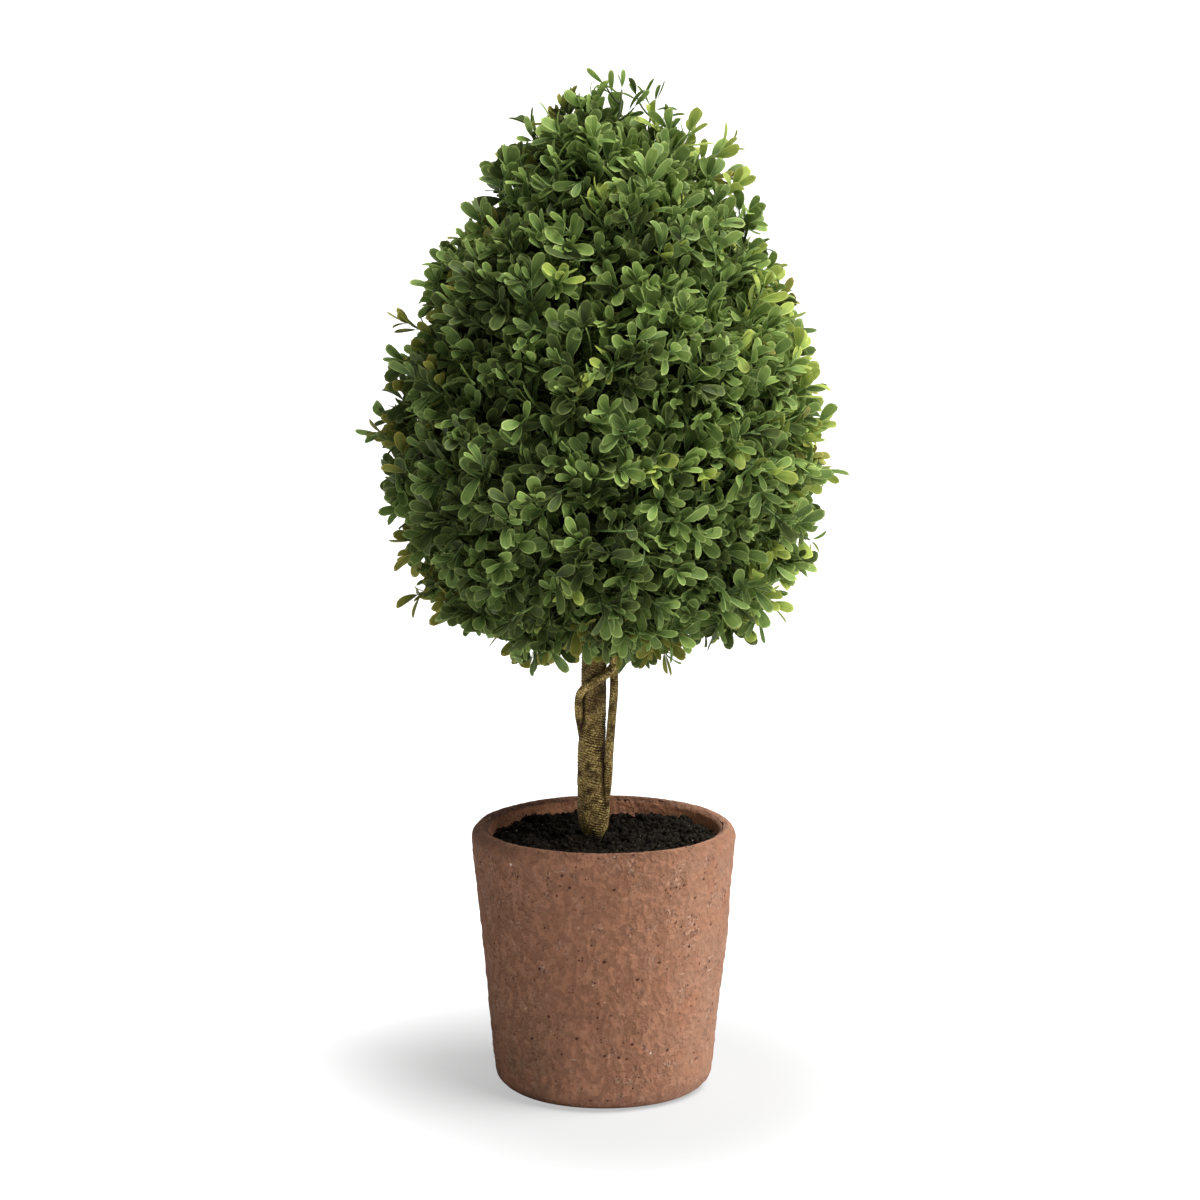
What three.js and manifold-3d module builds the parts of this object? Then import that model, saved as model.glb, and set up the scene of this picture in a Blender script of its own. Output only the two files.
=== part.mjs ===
// An artificial boxwood topiary. A clipped, egg-shaped cone of foliage stands on one thick
// wrapped stem, with two thin side stems beside it, in a soil-filled round tapered pot.
// Millimetres, +Z up. The origin is the centre of the pot's flat underside.

import * as THREE from 'three';
import { mergeVertices } from 'three/addons/utils/BufferGeometryUtils.js';
import Module from 'manifold-3d';

const wasm = await Module();
wasm.setup();

// Driving dimensions

const SEAT_GAP = 0.3; // clearance between pieces that rest on each other
const CROWN_SEAT_GAP = 0.4; // measured along the tufts, which lean, so it narrows to about 0.3

const POT_HEIGHT = 156.5;
const POT_TOP_RADIUS = 77; // outer wall where it meets the rim's rounding
const POT_BASE_RADIUS = 63.3; // outer wall where it meets the foot's rounding
const POT_RIM_ROUND = 7.8;
const POT_FOOT_ROUND = 13.5;
const POT_LIP_ROUND = 2.2;
const POT_WALL = 10;
const POT_FLOOR = 12;
const POT_SIDES = 48;

const SOIL_BELOW_RIM = 8.5;
const SOIL_LEVEL = POT_HEIGHT - SOIL_BELOW_RIM;

const STEM_LENGTH = 396; // from the soil to the end inside the foliage
const STEM_RADIUS = 6.9;
const STEM_TIP_RADIUS = 3;
const STEM_OFFSET = -5.3; // the stem stands a little to the left of the pot's axis
const STEM_BOW = -1.4; // sideways bow at mid height of the bare stretch
const STEM_BOW_HEIGHT = 48;
const STEM_BOW_SPREAD = 22;
const STEM_SWELL = 1.9; // thickening where the right side stem joins
const STEM_SWELL_HEIGHT = 17;
const STEM_SWELL_SPREAD = 34;
const STEM_TUCK = 3.6; // drawn in where the wrapping ends at the soil
const STEM_TUCK_SPREAD = 8;
const STEM_LEAN = 0.03; // sideways lean inside the foliage
const STEM_BARE = 100; // length below the foliage
const STEM_SIDES = 16;
const STEM_STATIONS = 24;
const STEM_CROWDING = 1.6; // above 1, the stations crowd towards the foot

const SIDE_STEM_RADIUS = 2.5;
const SIDE_STEM_END_RADIUS = 2.3;
const SIDE_STEM_SIDES = 8;
const SIDE_STEM_STEPS = 16;

const CROWN_WIDEST_LEVEL = 375;
const CROWN_RADIUS = 120;
const CROWN_RISE = 200; // from the widest level up to the top
const CROWN_DROP = 117; // from the widest level down to the underside
const CROWN_LEAN = 0.02; // sideways, above the widest level
const CROWN_UPPER = { fullness: 1.2, roundness: 0.44 };
const CROWN_LOWER = { fullness: 2.6, roundness: 0.42 };
const CROWN_END_TILT = 89.9; // degrees; the end rings stay open so every face has an area
const CROWN_TILT_STEP = 0.02; // radians, for measuring the outline's slope
const CROWN_LEVELS = 33;
const CROWN_SIDES = 60;

const TUFT_COUNT = 170; // clipped tufts that make the surface uneven
const TUFT_RADIUS = 24;
const TUFT_HEIGHT_MIN = 4;
const TUFT_HEIGHT_MAX = 12;
const TUFT_SEED = 7;

const SPRIG_SIDES = 8;
const SPRIG_RINGS = 6;
const SPRIG_ENDS = [0.02, 0.99]; // shares of its length where the end rings lie
const SPRIG_WIDEST = 1.2; // above 1, the widest ring moves towards the tip
const SPRIG_BLUNTNESS = 0.8;
const SPRIG_UNEVENNESS = 0.15;

// Each sprig that stands out of the clipped outline runs from a foot inside the foliage to a tip.
const SPRIGS = [
  { name: 'top_sprig_left', foot: [-2, 2, 558], tip: [-11, 3, 587], radius: 4.5 },
  { name: 'top_sprig_middle', foot: [11, -3, 558], tip: [10, -4, 594], radius: 5.5 },
  { name: 'top_sprig_right', foot: [20, 4, 556], tip: [34, 5, 585], radius: 5 },
  { name: 'upper_left_sprig', foot: [-17, -4, 552], tip: [-24, -6, 581], radius: 5 },
  { name: 'upper_right_sprig', foot: [48, 3, 540], tip: [76, 4, 553], radius: 5.5 },
  { name: 'shoulder_right_sprig', foot: [57, -6, 524], tip: [81, -8, 534], radius: 5.5 },
  { name: 'shoulder_left_sprig', foot: [-94, -5, 442], tip: [-121, -6, 453], radius: 6 },
  { name: 'left_sprig', foot: [-110, 2, 378], tip: [-138, 3, 388], radius: 5.5 },
  { name: 'right_sprig', foot: [109, -4, 386], tip: [133, -5, 395], radius: 6 },
  { name: 'right_middle_sprig', foot: [110, 4, 361], tip: [135, 5, 359], radius: 6 },
  { name: 'lower_right_sprig', foot: [103, -3, 322], tip: [129, -4, 319], radius: 5.5 },
  { name: 'bottom_right_sprig', foot: [86, -6, 295], tip: [106, -8, 288], radius: 5.5 },
  { name: 'lower_left_sprig', foot: [-93, 4, 293], tip: [-117, 5, 288], radius: 6 },
];

// Finishes

const FINISHES = {
  pot: { color: 0xa56e55, roughness: 0.9, metalness: 0 },
  soil: { color: 0x1c1814, roughness: 1, metalness: 0 },
  bark: { color: 0x786437, roughness: 0.85, metalness: 0 },
  foliage: { color: 0x4b7332, roughness: 0.6, metalness: 0 },
  sprig: { color: 0x82923c, roughness: 0.6, metalness: 0 },
};

function finish(name) {
  return new THREE.MeshStandardMaterial(FINISHES[name]);
}

// Solids: joining, cutting and turning them back into meshes

function toSolid(geometry) {
  const bare = geometry.clone();
  bare.deleteAttribute('normal');
  bare.deleteAttribute('uv');
  const merged = mergeVertices(bare);
  const vertProperties = new Float32Array(merged.attributes.position.array);
  const triVerts = new Uint32Array(merged.index.array);
  return new wasm.Manifold(new wasm.Mesh({ numProp: 3, vertProperties, triVerts }));
}

function toGeometry(solid) {
  const mesh = solid.getMesh();
  const geometry = new THREE.BufferGeometry();
  geometry.setAttribute('position', new THREE.Float32BufferAttribute(mesh.vertProperties, 3));
  geometry.setIndex(Array.from(mesh.triVerts));
  geometry.computeVertexNormals();
  return geometry;
}

function cut(geometry, ...tools) {
  let solid = toSolid(geometry);
  for (const tool of tools) {
    solid = solid.subtract(toSolid(tool));
  }
  return toGeometry(solid);
}

// A closed skin over rings of points, listed from one end to the other, with a fan at each end.
function skinRings(rings) {
  const sides = rings[0].length;
  const points = rings.flat();
  const indices = [];
  for (let ring = 0; ring < rings.length - 1; ring += 1) {
    for (let side = 0; side < sides; side += 1) {
      const next = (side + 1) % sides;
      const a = ring * sides + side;
      const b = ring * sides + next;
      indices.push(a, b, b + sides);
      indices.push(a, b + sides, a + sides);
    }
  }
  const last = (rings.length - 1) * sides;
  for (let side = 1; side < sides - 1; side += 1) {
    indices.push(0, side + 1, side);
    indices.push(last, last + side, last + side + 1);
  }
  const geometry = new THREE.BufferGeometry().setFromPoints(points);
  geometry.setIndex(indices);
  geometry.computeVertexNormals();
  return geometry;
}

// A bell-shaped bump of height 1 at the given middle.
function bell(value, middle, spread) {
  return Math.exp(-(((value - middle) / spread) ** 2));
}

// Pot and soil: turned about the vertical axis

const WALL_SLOPE =
  (POT_TOP_RADIUS - POT_BASE_RADIUS) / (POT_HEIGHT - POT_RIM_ROUND - POT_FOOT_ROUND);

function potInnerRadius(level) {
  return POT_TOP_RADIUS - POT_WALL - (POT_HEIGHT - POT_LIP_ROUND - level) * WALL_SLOPE;
}

function turned(points) {
  return new THREE.LatheGeometry(points, POT_SIDES).rotateX(Math.PI / 2);
}

function potGeometry() {
  const quarter = Math.PI / 2;
  const rimMiddle = POT_TOP_RADIUS - POT_RIM_ROUND;
  const lipMiddle = potInnerRadius(POT_HEIGHT - POT_LIP_ROUND) + POT_LIP_ROUND;
  const footMiddle = POT_BASE_RADIUS - POT_FOOT_ROUND;
  const outline = new THREE.Path();
  outline.moveTo(0, 0);
  outline.lineTo(footMiddle, 0);
  outline.absarc(footMiddle, POT_FOOT_ROUND, POT_FOOT_ROUND, -quarter, 0);
  outline.absarc(rimMiddle, POT_HEIGHT - POT_RIM_ROUND, POT_RIM_ROUND, 0, quarter);
  outline.absarc(lipMiddle, POT_HEIGHT - POT_LIP_ROUND, POT_LIP_ROUND, quarter, Math.PI);
  outline.lineTo(potInnerRadius(POT_FLOOR), POT_FLOOR);
  outline.lineTo(0, POT_FLOOR);
  return turned(outline.getPoints(2));
}

function soilGeometry() {
  const underside = POT_FLOOR + SEAT_GAP;
  const outline = new THREE.Path();
  outline.moveTo(0, underside);
  outline.lineTo(potInnerRadius(underside) - SEAT_GAP, underside);
  outline.lineTo(potInnerRadius(SOIL_LEVEL) - SEAT_GAP, SOIL_LEVEL);
  outline.lineTo(0, SOIL_LEVEL);
  return turned(outline.getPoints(1));
}

// Main stem: level rings from a flat cut at the soil up to the end inside the foliage

function stemCentre(height) {
  const bow = STEM_BOW * bell(height, STEM_BOW_HEIGHT, STEM_BOW_SPREAD);
  const lean = STEM_LEAN * Math.max(0, height - STEM_BARE);
  return STEM_OFFSET + bow + lean;
}

function stemRadius(height) {
  const taper = Math.max(0, height - STEM_BARE) / (STEM_LENGTH - STEM_BARE);
  const swell = STEM_SWELL * bell(height, STEM_SWELL_HEIGHT, STEM_SWELL_SPREAD);
  const tuck = STEM_TUCK * bell(height, 0, STEM_TUCK_SPREAD);
  return THREE.MathUtils.lerp(STEM_RADIUS, STEM_TIP_RADIUS, taper) + swell - tuck;
}

function stemGeometry(clearance = 0) {
  const rings = [];
  for (let station = 0; station <= STEM_STATIONS; station += 1) {
    const height = STEM_LENGTH * (station / STEM_STATIONS) ** STEM_CROWDING;
    const isTip = station === STEM_STATIONS;
    const level = SOIL_LEVEL + SEAT_GAP + height + (isTip ? clearance : 0);
    const radius = stemRadius(height) + clearance;
    const ring = [];
    for (let side = 0; side < STEM_SIDES; side += 1) {
      const angle = (side / STEM_SIDES) * 2 * Math.PI;
      const x = stemCentre(height) + radius * Math.cos(angle);
      ring.push(new THREE.Vector3(x, radius * Math.sin(angle), level));
    }
    rings.push(ring);
  }
  return skinRings(rings);
}

// Side stems: thin tapering limbs along smooth curves

function limbGeometry(waypoints, startRadius, endRadius, clearance = 0) {
  const curve = new THREE.CatmullRomCurve3(waypoints.map((p) => new THREE.Vector3(...p)));
  const frames = curve.computeFrenetFrames(SIDE_STEM_STEPS, false);
  const rings = [];
  for (let step = 0; step <= SIDE_STEM_STEPS; step += 1) {
    const along = step / SIDE_STEM_STEPS;
    const centre = curve.getPointAt(along);
    const radius = THREE.MathUtils.lerp(startRadius, endRadius, along) + clearance;
    const ring = [];
    for (let side = 0; side < SIDE_STEM_SIDES; side += 1) {
      const angle = (side / SIDE_STEM_SIDES) * 2 * Math.PI;
      const point = centre.clone();
      point.addScaledVector(frames.normals[step], radius * Math.cos(angle));
      point.addScaledVector(frames.binormals[step], radius * Math.sin(angle));
      ring.push(point);
    }
    rings.push(ring);
  }
  return skinRings(rings);
}

// The right side stem leaves the swelling low on the main stem and climbs beside it.
function rightStemGeometry(clearance = 0) {
  const waypoints = [
    [0.5, -4, 168],
    [2.3, -5.2, 184],
    [3, -5, 199],
    [4.4, -3.8, 218],
    [5.8, -2, 236],
    [5.6, -2.5, 250],
    [5, -3, 266],
  ];
  return limbGeometry(waypoints, SIDE_STEM_RADIUS, SIDE_STEM_RADIUS, clearance);
}

// The left side stem leaves the right one under the foliage, crosses the front of the main
// stem and curls down its left side, where it joins it.
function leftStemGeometry() {
  const waypoints = [
    [5.2, -3.5, 250],
    [0.5, -9.8, 246],
    [-6.5, -10.1, 241.5],
    [-12.3, -8.2, 237],
    [-14.3, -5.6, 229.5],
    [-14.3, -5.4, 221],
    [-13.2, -5.6, 212],
    [-12.2, -4, 203],
  ];
  return limbGeometry(waypoints, SIDE_STEM_RADIUS, SIDE_STEM_END_RADIUS);
}

// Foliage: an egg-shaped cone, fuller below its widest level, covered in clipped tufts

// With u as the share of the rise or drop, the radius is R * (1 - u^fullness)^roundness.
// The tilt from the widest level, from -90 to 90 degrees, spaces the points along that outline.
function crownOutline(tilt) {
  const isUpper = tilt > 0;
  const form = isUpper ? CROWN_UPPER : CROWN_LOWER;
  const reach = isUpper ? CROWN_RISE : -CROWN_DROP;
  return {
    rise: reach * Math.abs(Math.sin(tilt)) ** (2 / form.fullness),
    radius: CROWN_RADIUS * Math.abs(Math.cos(tilt)) ** (2 * form.roundness),
  };
}

function smoothCrownPoint(tilt, turn) {
  const { rise, radius } = crownOutline(tilt);
  const x = radius * Math.cos(turn) + CROWN_LEAN * Math.max(0, rise);
  return new THREE.Vector3(x, radius * Math.sin(turn), CROWN_WIDEST_LEVEL + rise);
}

// Tilts from the underside to the top, such that equal steps between them pass equal areas.
function evenTilts(count) {
  const steps = 400;
  const areas = [0];
  for (let step = 1; step <= steps; step += 1) {
    const below = crownOutline(((step - 1) / steps - 0.5) * Math.PI);
    const above = crownOutline((step / steps - 0.5) * Math.PI);
    const slant = Math.hypot(above.radius - below.radius, above.rise - below.rise);
    areas.push(areas[step - 1] + slant * (above.radius + below.radius));
  }
  const tilts = [];
  let step = 0;
  for (let index = 0; index < count; index += 1) {
    const wanted = ((index + 0.5) / count) * areas[steps];
    while (areas[step + 1] < wanted) {
      step += 1;
    }
    tilts.push(((step + 0.5) / steps - 0.5) * Math.PI);
  }
  return tilts;
}

// Tufts spread evenly over the outline by the golden angle, each with a height of its own.
function crownTufts() {
  const golden = Math.PI * (3 - Math.sqrt(5));
  return evenTilts(TUFT_COUNT).map((tilt, index) => {
    const share = THREE.MathUtils.seededRandom(TUFT_SEED + index);
    return {
      middle: smoothCrownPoint(tilt, index * golden),
      height: THREE.MathUtils.lerp(TUFT_HEIGHT_MIN, TUFT_HEIGHT_MAX, share),
    };
  });
}

const TUFTS = crownTufts();

function tuftHeight(point) {
  let height = 0;
  for (const tuft of TUFTS) {
    const spread = point.distanceTo(tuft.middle) / TUFT_RADIUS;
    height = Math.max(height, tuft.height * (1 - spread * spread));
  }
  return height;
}

// Square to the outline: the steps up and in between two near tilts, turned by a right angle.
function crownNormal(tilt, turn) {
  const below = crownOutline(Math.max(tilt - CROWN_TILT_STEP, -Math.PI / 2));
  const above = crownOutline(Math.min(tilt + CROWN_TILT_STEP, Math.PI / 2));
  const out = above.rise - below.rise;
  const up = below.radius - above.radius;
  return new THREE.Vector3(out * Math.cos(turn), out * Math.sin(turn), up).normalize();
}

function crownPoint(tilt, turn, clearance) {
  const point = smoothCrownPoint(tilt, turn);
  return point.addScaledVector(crownNormal(tilt, turn), tuftHeight(point) + clearance);
}

function crownGeometry(clearance = 0) {
  const endTilt = THREE.MathUtils.degToRad(CROWN_END_TILT);
  const rings = [];
  for (let level = 0; level <= CROWN_LEVELS; level += 1) {
    const tilt = THREE.MathUtils.lerp(-endTilt, endTilt, level / CROWN_LEVELS);
    const ring = [];
    for (let side = 0; side < CROWN_SIDES; side += 1) {
      ring.push(crownPoint(tilt, (side / CROWN_SIDES) * 2 * Math.PI, clearance));
    }
    rings.push(ring);
  }
  return skinRings(rings);
}

// A sprig: a slender bud-shaped tuft, widest a little past its middle
function sprigGeometry({ foot, tip, radius }) {
  const start = new THREE.Vector3(...foot);
  const end = new THREE.Vector3(...tip);
  const outward = end.clone().sub(start).normalize();
  const across = new THREE.Vector3(0, 1, 0).cross(outward).normalize();
  const upward = outward.clone().cross(across);
  const rings = [];
  for (let ring = 0; ring <= SPRIG_RINGS; ring += 1) {
    const along = THREE.MathUtils.lerp(...SPRIG_ENDS, ring / SPRIG_RINGS);
    const size = radius * Math.sin(Math.PI * along ** SPRIG_WIDEST) ** SPRIG_BLUNTNESS;
    const points = [];
    for (let side = 0; side < SPRIG_SIDES; side += 1) {
      const angle = (side / SPRIG_SIDES) * 2 * Math.PI;
      const swell = size * (1 + SPRIG_UNEVENNESS * Math.cos(3 * angle + 2 * ring));
      const point = start.clone().lerp(end, along);
      point.addScaledVector(across, swell * Math.cos(angle));
      point.addScaledVector(upward, swell * Math.sin(angle));
      points.push(point);
    }
    rings.push(points);
  }
  return skinRings(rings);
}

// Assembly

function named(name, geometry, finishName) {
  const mesh = new THREE.Mesh(geometry, finish(finishName));
  mesh.name = name;
  return mesh;
}

const stemWithGap = stemGeometry(SEAT_GAP);
const rightStemWithGap = rightStemGeometry(SEAT_GAP);
const crownWithGap = crownGeometry(CROWN_SEAT_GAP);

const group = new THREE.Group();
group.add(named('pot', potGeometry(), 'pot'));
group.add(named('soil', soilGeometry(), 'soil'));
group.add(named('trunk', stemGeometry(), 'bark'));
group.add(named('right_stem', cut(rightStemGeometry(), stemWithGap, crownWithGap), 'bark'));
const leftStem = cut(leftStemGeometry(), stemWithGap, rightStemWithGap, crownWithGap);
group.add(named('left_stem', leftStem, 'bark'));
group.add(named('foliage_cone', cut(crownGeometry(), stemWithGap), 'foliage'));
for (const sprig of SPRIGS) {
  group.add(named(sprig.name, cut(sprigGeometry(sprig), crownWithGap), 'sprig'));
}

export default group;
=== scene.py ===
"""Looks of an artificial boxwood cone topiary that stands in a rough round pot.

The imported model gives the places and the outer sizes. Each surface is worked out as whole numpy arrays, and
each random choice comes from a seed, so every run gives the same topiary. Sizes are in metres.
"""

import itertools
import logging
import math
from dataclasses import dataclass, field
from enum import Enum

import bpy
import numpy as np
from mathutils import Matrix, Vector
from mathutils.bvhtree import BVHTree


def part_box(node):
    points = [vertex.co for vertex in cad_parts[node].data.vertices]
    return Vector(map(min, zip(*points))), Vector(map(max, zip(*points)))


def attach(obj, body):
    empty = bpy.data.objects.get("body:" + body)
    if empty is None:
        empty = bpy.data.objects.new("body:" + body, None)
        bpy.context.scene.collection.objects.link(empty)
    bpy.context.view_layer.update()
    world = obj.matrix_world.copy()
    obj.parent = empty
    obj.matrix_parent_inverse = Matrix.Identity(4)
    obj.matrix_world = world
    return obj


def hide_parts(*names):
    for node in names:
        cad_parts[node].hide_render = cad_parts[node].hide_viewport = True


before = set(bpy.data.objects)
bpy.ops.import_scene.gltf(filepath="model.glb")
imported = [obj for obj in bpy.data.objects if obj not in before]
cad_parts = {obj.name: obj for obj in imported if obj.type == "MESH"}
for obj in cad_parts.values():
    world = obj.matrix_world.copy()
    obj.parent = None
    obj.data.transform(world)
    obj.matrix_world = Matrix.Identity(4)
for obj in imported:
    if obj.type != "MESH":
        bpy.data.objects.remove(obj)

Array = np.ndarray
Colour = tuple[float, float, float, float]
Pair = tuple[float, float]
Triple = tuple[float, float, float]
Random = np.random.Generator
Material = bpy.types.Material
Socket = bpy.types.NodeSocket
LOG = logging.getLogger("topiary")
BODY = "root"
REPEAT_MAP = "OFBake"       # the map of small repeated shapes, where all copies share one place
TURN = 2.0 * math.pi
GOLDEN_ANGLE = math.pi * (3.0 - math.sqrt(5.0))
UP = np.array([0.0, 0.0, 1.0])
DEPTH_AXIS = np.array([0.0, 1.0, 0.0])


# ------------------------ arithmetic on whole arrays


def paint(red: int, green: int, blue: int) -> Colour:
    """Turns a display colour of 0 to 255 into the linear colour that shaders use."""
    shares = [value / 255.0 for value in (red, green, blue)]
    linear = [s / 12.92 if s <= 0.04045 else ((s + 0.055) / 1.055) ** 2.4 for s in shares]
    return (linear[0], linear[1], linear[2], 1.0)


def grey(value: float) -> Colour:
    """A grey by its linear value."""
    return (value, value, value, 1.0)


def unit(vectors: Array) -> Array:
    """Scales vectors on the last axis to length one."""
    return vectors / np.maximum(np.linalg.norm(vectors, axis=-1, keepdims=True), 1e-12)


def dot(first: Array, second: Array) -> Array:
    """Dot product over the last axis, which stays as an axis of one."""
    return np.sum(first * second, axis=-1, keepdims=True)


def upright_to(directions: Array, wanted: Array) -> Array:
    """Unit vectors square to the directions, as near to the wanted ones as can be: w - d (d.w)."""
    return unit(wanted - directions * dot(directions, wanted))


def turned(vectors: Array, axes: Array, angles: Array) -> Array:
    """Turns vectors about unit axes.

    The formula is v cos a + (k x v) sin a + k (k.v)(1 - cos a), with k the axis and a the angle.

    Args:
        vectors: what is turned, on the last axis.
        axes: unit axes that broadcast with the vectors.
        angles: radians, one for each vector.

    Returns:
        The turned vectors.
    """
    cosine = np.cos(angles)[..., None]
    sine = np.sin(angles)[..., None]
    return vectors * cosine + np.cross(axes, vectors) * sine + axes * dot(axes, vectors) * (1.0 - cosine)


def eased(values: Array, low: float, high: float) -> Array:
    """Rises from 0 at low to 1 at high along 3t^2 - 2t^3."""
    share = np.clip((values - low) / (high - low), 0.0, 1.0)
    return share * share * (3.0 - 2.0 * share)


def bell(values: Array, middle: float, spread: float) -> Array:
    """The bell curve exp(-((v - middle) / spread)^2)."""
    return np.exp(-(((values - middle) / spread) ** 2))


def circle(count: int) -> Array:
    """The (cosine, sine) of angles that stand evenly round a circle, the first one at 0."""
    angle = TURN * np.arange(count) / count
    return np.stack([np.cos(angle), np.sin(angle)], -1)


def even_directions(count: int, stretch: float, start: float) -> Array:
    """Directions that spread evenly over an egg.

    Direction k stands at height 1 - 2(k + 1/2)/count and turns on by the golden angle. The height is then
    stretched, and the vector is made unit length.

    Args:
        count: how many directions.
        stretch: how much taller than wide the egg is.
        start: the angle of the first one, in radians.

    Returns:
        One unit vector for each direction.
    """
    step = np.arange(count)
    height = 1.0 - 2.0 * (step + 0.5) / count
    ring = np.sqrt(1.0 - height**2)
    angle = start + step * GOLDEN_ANGLE
    return unit(np.stack([ring * np.cos(angle), ring * np.sin(angle), height * stretch], axis=-1))


@dataclass(frozen=True)
class SmoothNoise:
    """A smooth random field through space that its seed repeats exactly.

    Random values from -1 to 1 stand on a cubic lattice that repeats after `period` cells. A point takes the
    blend of the eight values round it, each weight easing along 3t^2 - 2t^3.
    """

    seed: int
    period: int = 32

    def at(self, points: Array, cell: float) -> Array:
        """Reads the field.

        Args:
            points: places on the last axis, in metres.
            cell: the lattice's spacing, in metres.

        Returns:
            One value for each place.
        """
        table = np.random.default_rng(self.seed).uniform(-1.0, 1.0, (self.period,) * 3)
        scaled = points / cell
        low = np.floor(scaled)
        share = scaled - low
        ease = share * share * (3.0 - 2.0 * share)
        low = low.astype(np.int64)
        total = np.zeros(points.shape[:-1])
        for corner in np.ndindex(2, 2, 2):
            index = (low + corner) % self.period
            weight = np.prod(np.where(corner, ease, 1.0 - ease), axis=-1)
            total += weight * table[index[..., 0], index[..., 1], index[..., 2]]
        return total

    def fractal(self, points: Array, cell: float, octaves: int = 3) -> Array:
        """Adds finer fields, each with half the cell and half the strength: sum of at(p, cell/2^k) / 2^k."""
        return sum(self.at(points + 7.3 * cell * k, cell / 2**k) / 2**k for k in range(octaves))


@dataclass(frozen=True)
class Ripple:
    """One layer of relief: how deep it is, how wide its lumps are and how many finer octaves it has."""

    depth: float
    cell: float
    octaves: int = 3

    def at(self, points: Array, noise: SmoothNoise) -> Array:
        """The layer's height at each place."""
        return self.depth * noise.fractal(points, self.cell, self.octaves)


@dataclass(frozen=True)
class Bump:
    """A bell-shaped rise, given by its height, its middle and its spread."""

    height: float
    middle: float
    spread: float

    def at(self, values: Array) -> Array:
        """The rise at each value."""
        return self.height * bell(values, self.middle, self.spread)


# ------------------------ surfaces and meshes


def stand(obj: bpy.types.Object) -> None:
    """Puts an object into the scene."""
    bpy.context.scene.collection.objects.link(obj)


def copied_map(across: Array, along: Array, count: int) -> Array:
    """The (u, v) pairs of one small shape, said again for each of its copies."""
    return np.tile(np.stack([across, along], -1).reshape(-1, 2), (count, 1))


@dataclass
class Surface:
    """Points with faces over them, ready to become a mesh.

    Attributes:
        points: one row for each point.
        faces: arrays of point numbers, one array for each count of corners.
        marks: named numbers, one for each point.
        repeat_map: a (u, v) pair for each point, on small shapes that repeat.
    """

    points: Array
    faces: list[Array]
    marks: dict[str, Array] = field(default_factory=dict)
    repeat_map: Array | None = None

    @property
    def triangles(self) -> int:
        """How many triangles the faces make."""
        return sum(len(block) * (block.shape[1] - 2) for block in self.faces)

    @staticmethod
    def joined(parts: list["Surface"]) -> "Surface":
        """Lays surfaces of one make end to end as one surface."""
        starts = np.cumsum([0] + [len(part.points) for part in parts[:-1]])
        faces = [block + start for part, start in zip(parts, starts) for block in part.faces]
        marks = {name: np.concatenate([part.marks[name] for part in parts]) for name in parts[0].marks}
        mapped = parts[0].repeat_map is not None
        repeat_map = np.concatenate([part.repeat_map for part in parts]) if mapped else None
        return Surface(np.concatenate([part.points for part in parts]), faces, marks, repeat_map)

    def mesh(self, name: str) -> bpy.types.Mesh:
        """Writes the arrays into a new smooth-shaded mesh, with the marks as its point attributes."""
        corners = np.concatenate([block.ravel() for block in self.faces]).astype(np.int32)
        counts = np.concatenate([np.full(len(block), block.shape[1]) for block in self.faces])
        starts = np.concatenate([[0], np.cumsum(counts)[:-1]]).astype(np.int32)
        mesh = bpy.data.meshes.new(name)
        mesh.vertices.add(len(self.points))
        mesh.vertices.foreach_set("co", self.points.astype(np.float32).ravel())
        mesh.loops.add(len(corners))
        mesh.loops.foreach_set("vertex_index", corners)
        mesh.polygons.add(len(starts))
        mesh.polygons.foreach_set("loop_start", starts)
        mesh.polygons.foreach_set("use_smooth", np.ones(len(starts), dtype=bool))
        for mark, values in self.marks.items():
            attribute = mesh.attributes.new(mark, "FLOAT", "POINT")
            attribute.data.foreach_set("value", values.astype(np.float32))
        if self.repeat_map is not None:
            layer = mesh.uv_layers.new(name=REPEAT_MAP)
            layer.data.foreach_set("uv", self.repeat_map[corners].astype(np.float32).ravel())
        mesh.update(calc_edges=True)
        mesh.validate()
        return mesh

    def piece(self, name: str, material: Material, slot: str, *nodes: str) -> None:
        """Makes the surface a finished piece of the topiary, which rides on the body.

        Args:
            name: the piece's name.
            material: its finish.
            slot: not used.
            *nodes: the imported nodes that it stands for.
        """
        mesh = self.mesh(name)
        mesh.materials.append(material)
        obj = bpy.data.objects.new(name, mesh)
        stand(obj)
        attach(obj, BODY)
        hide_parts(*nodes)
        LOG.info("%s: %d triangles", name, self.triangles)


def grid_faces(rows: int, columns: int, closed: bool) -> Array:
    """Numbers the quads over a grid of points, facing columns x rows.

    Args:
        rows: rows of points.
        columns: points in each row.
        closed: whether the last column joins the first.

    Returns:
        Four point numbers for each quad.
    """
    row, column = np.meshgrid(np.arange(rows - 1), np.arange(columns - (not closed)), indexing="ij")
    following = (column + 1) % columns
    here, there = row * columns, (row + 1) * columns
    return np.stack([here + column, here + following, there + following, there + column], -1).reshape(-1, 4)


def closed_rings(rings: Array, **marks: Array) -> Surface:
    """Skins rings that run anticlockwise, and closes both ends with a fan to the ring's middle.

    Args:
        rings: places as rows x columns x 3.
        **marks: named numbers as rows x columns.

    Returns:
        One closed surface that faces outwards.
    """
    rows, columns = rings.shape[:2]
    here = np.arange(columns)
    following = (here + 1) % columns
    first, last = rows * columns, rows * columns + 1
    fans = np.concatenate([
        np.stack([np.full(columns, first), following, here], -1),
        np.stack([np.full(columns, last), first - columns + here, first - columns + following], -1),
    ])
    points = np.concatenate([rings.reshape(-1, 3), rings[:1].mean(1), rings[-1:].mean(1)])
    named = {name: np.concatenate([v.ravel(), v[:1].mean(1), v[-1:].mean(1)]) for name, v in marks.items()}
    return Surface(points, [grid_faces(rows, columns, True), fans], named)


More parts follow.
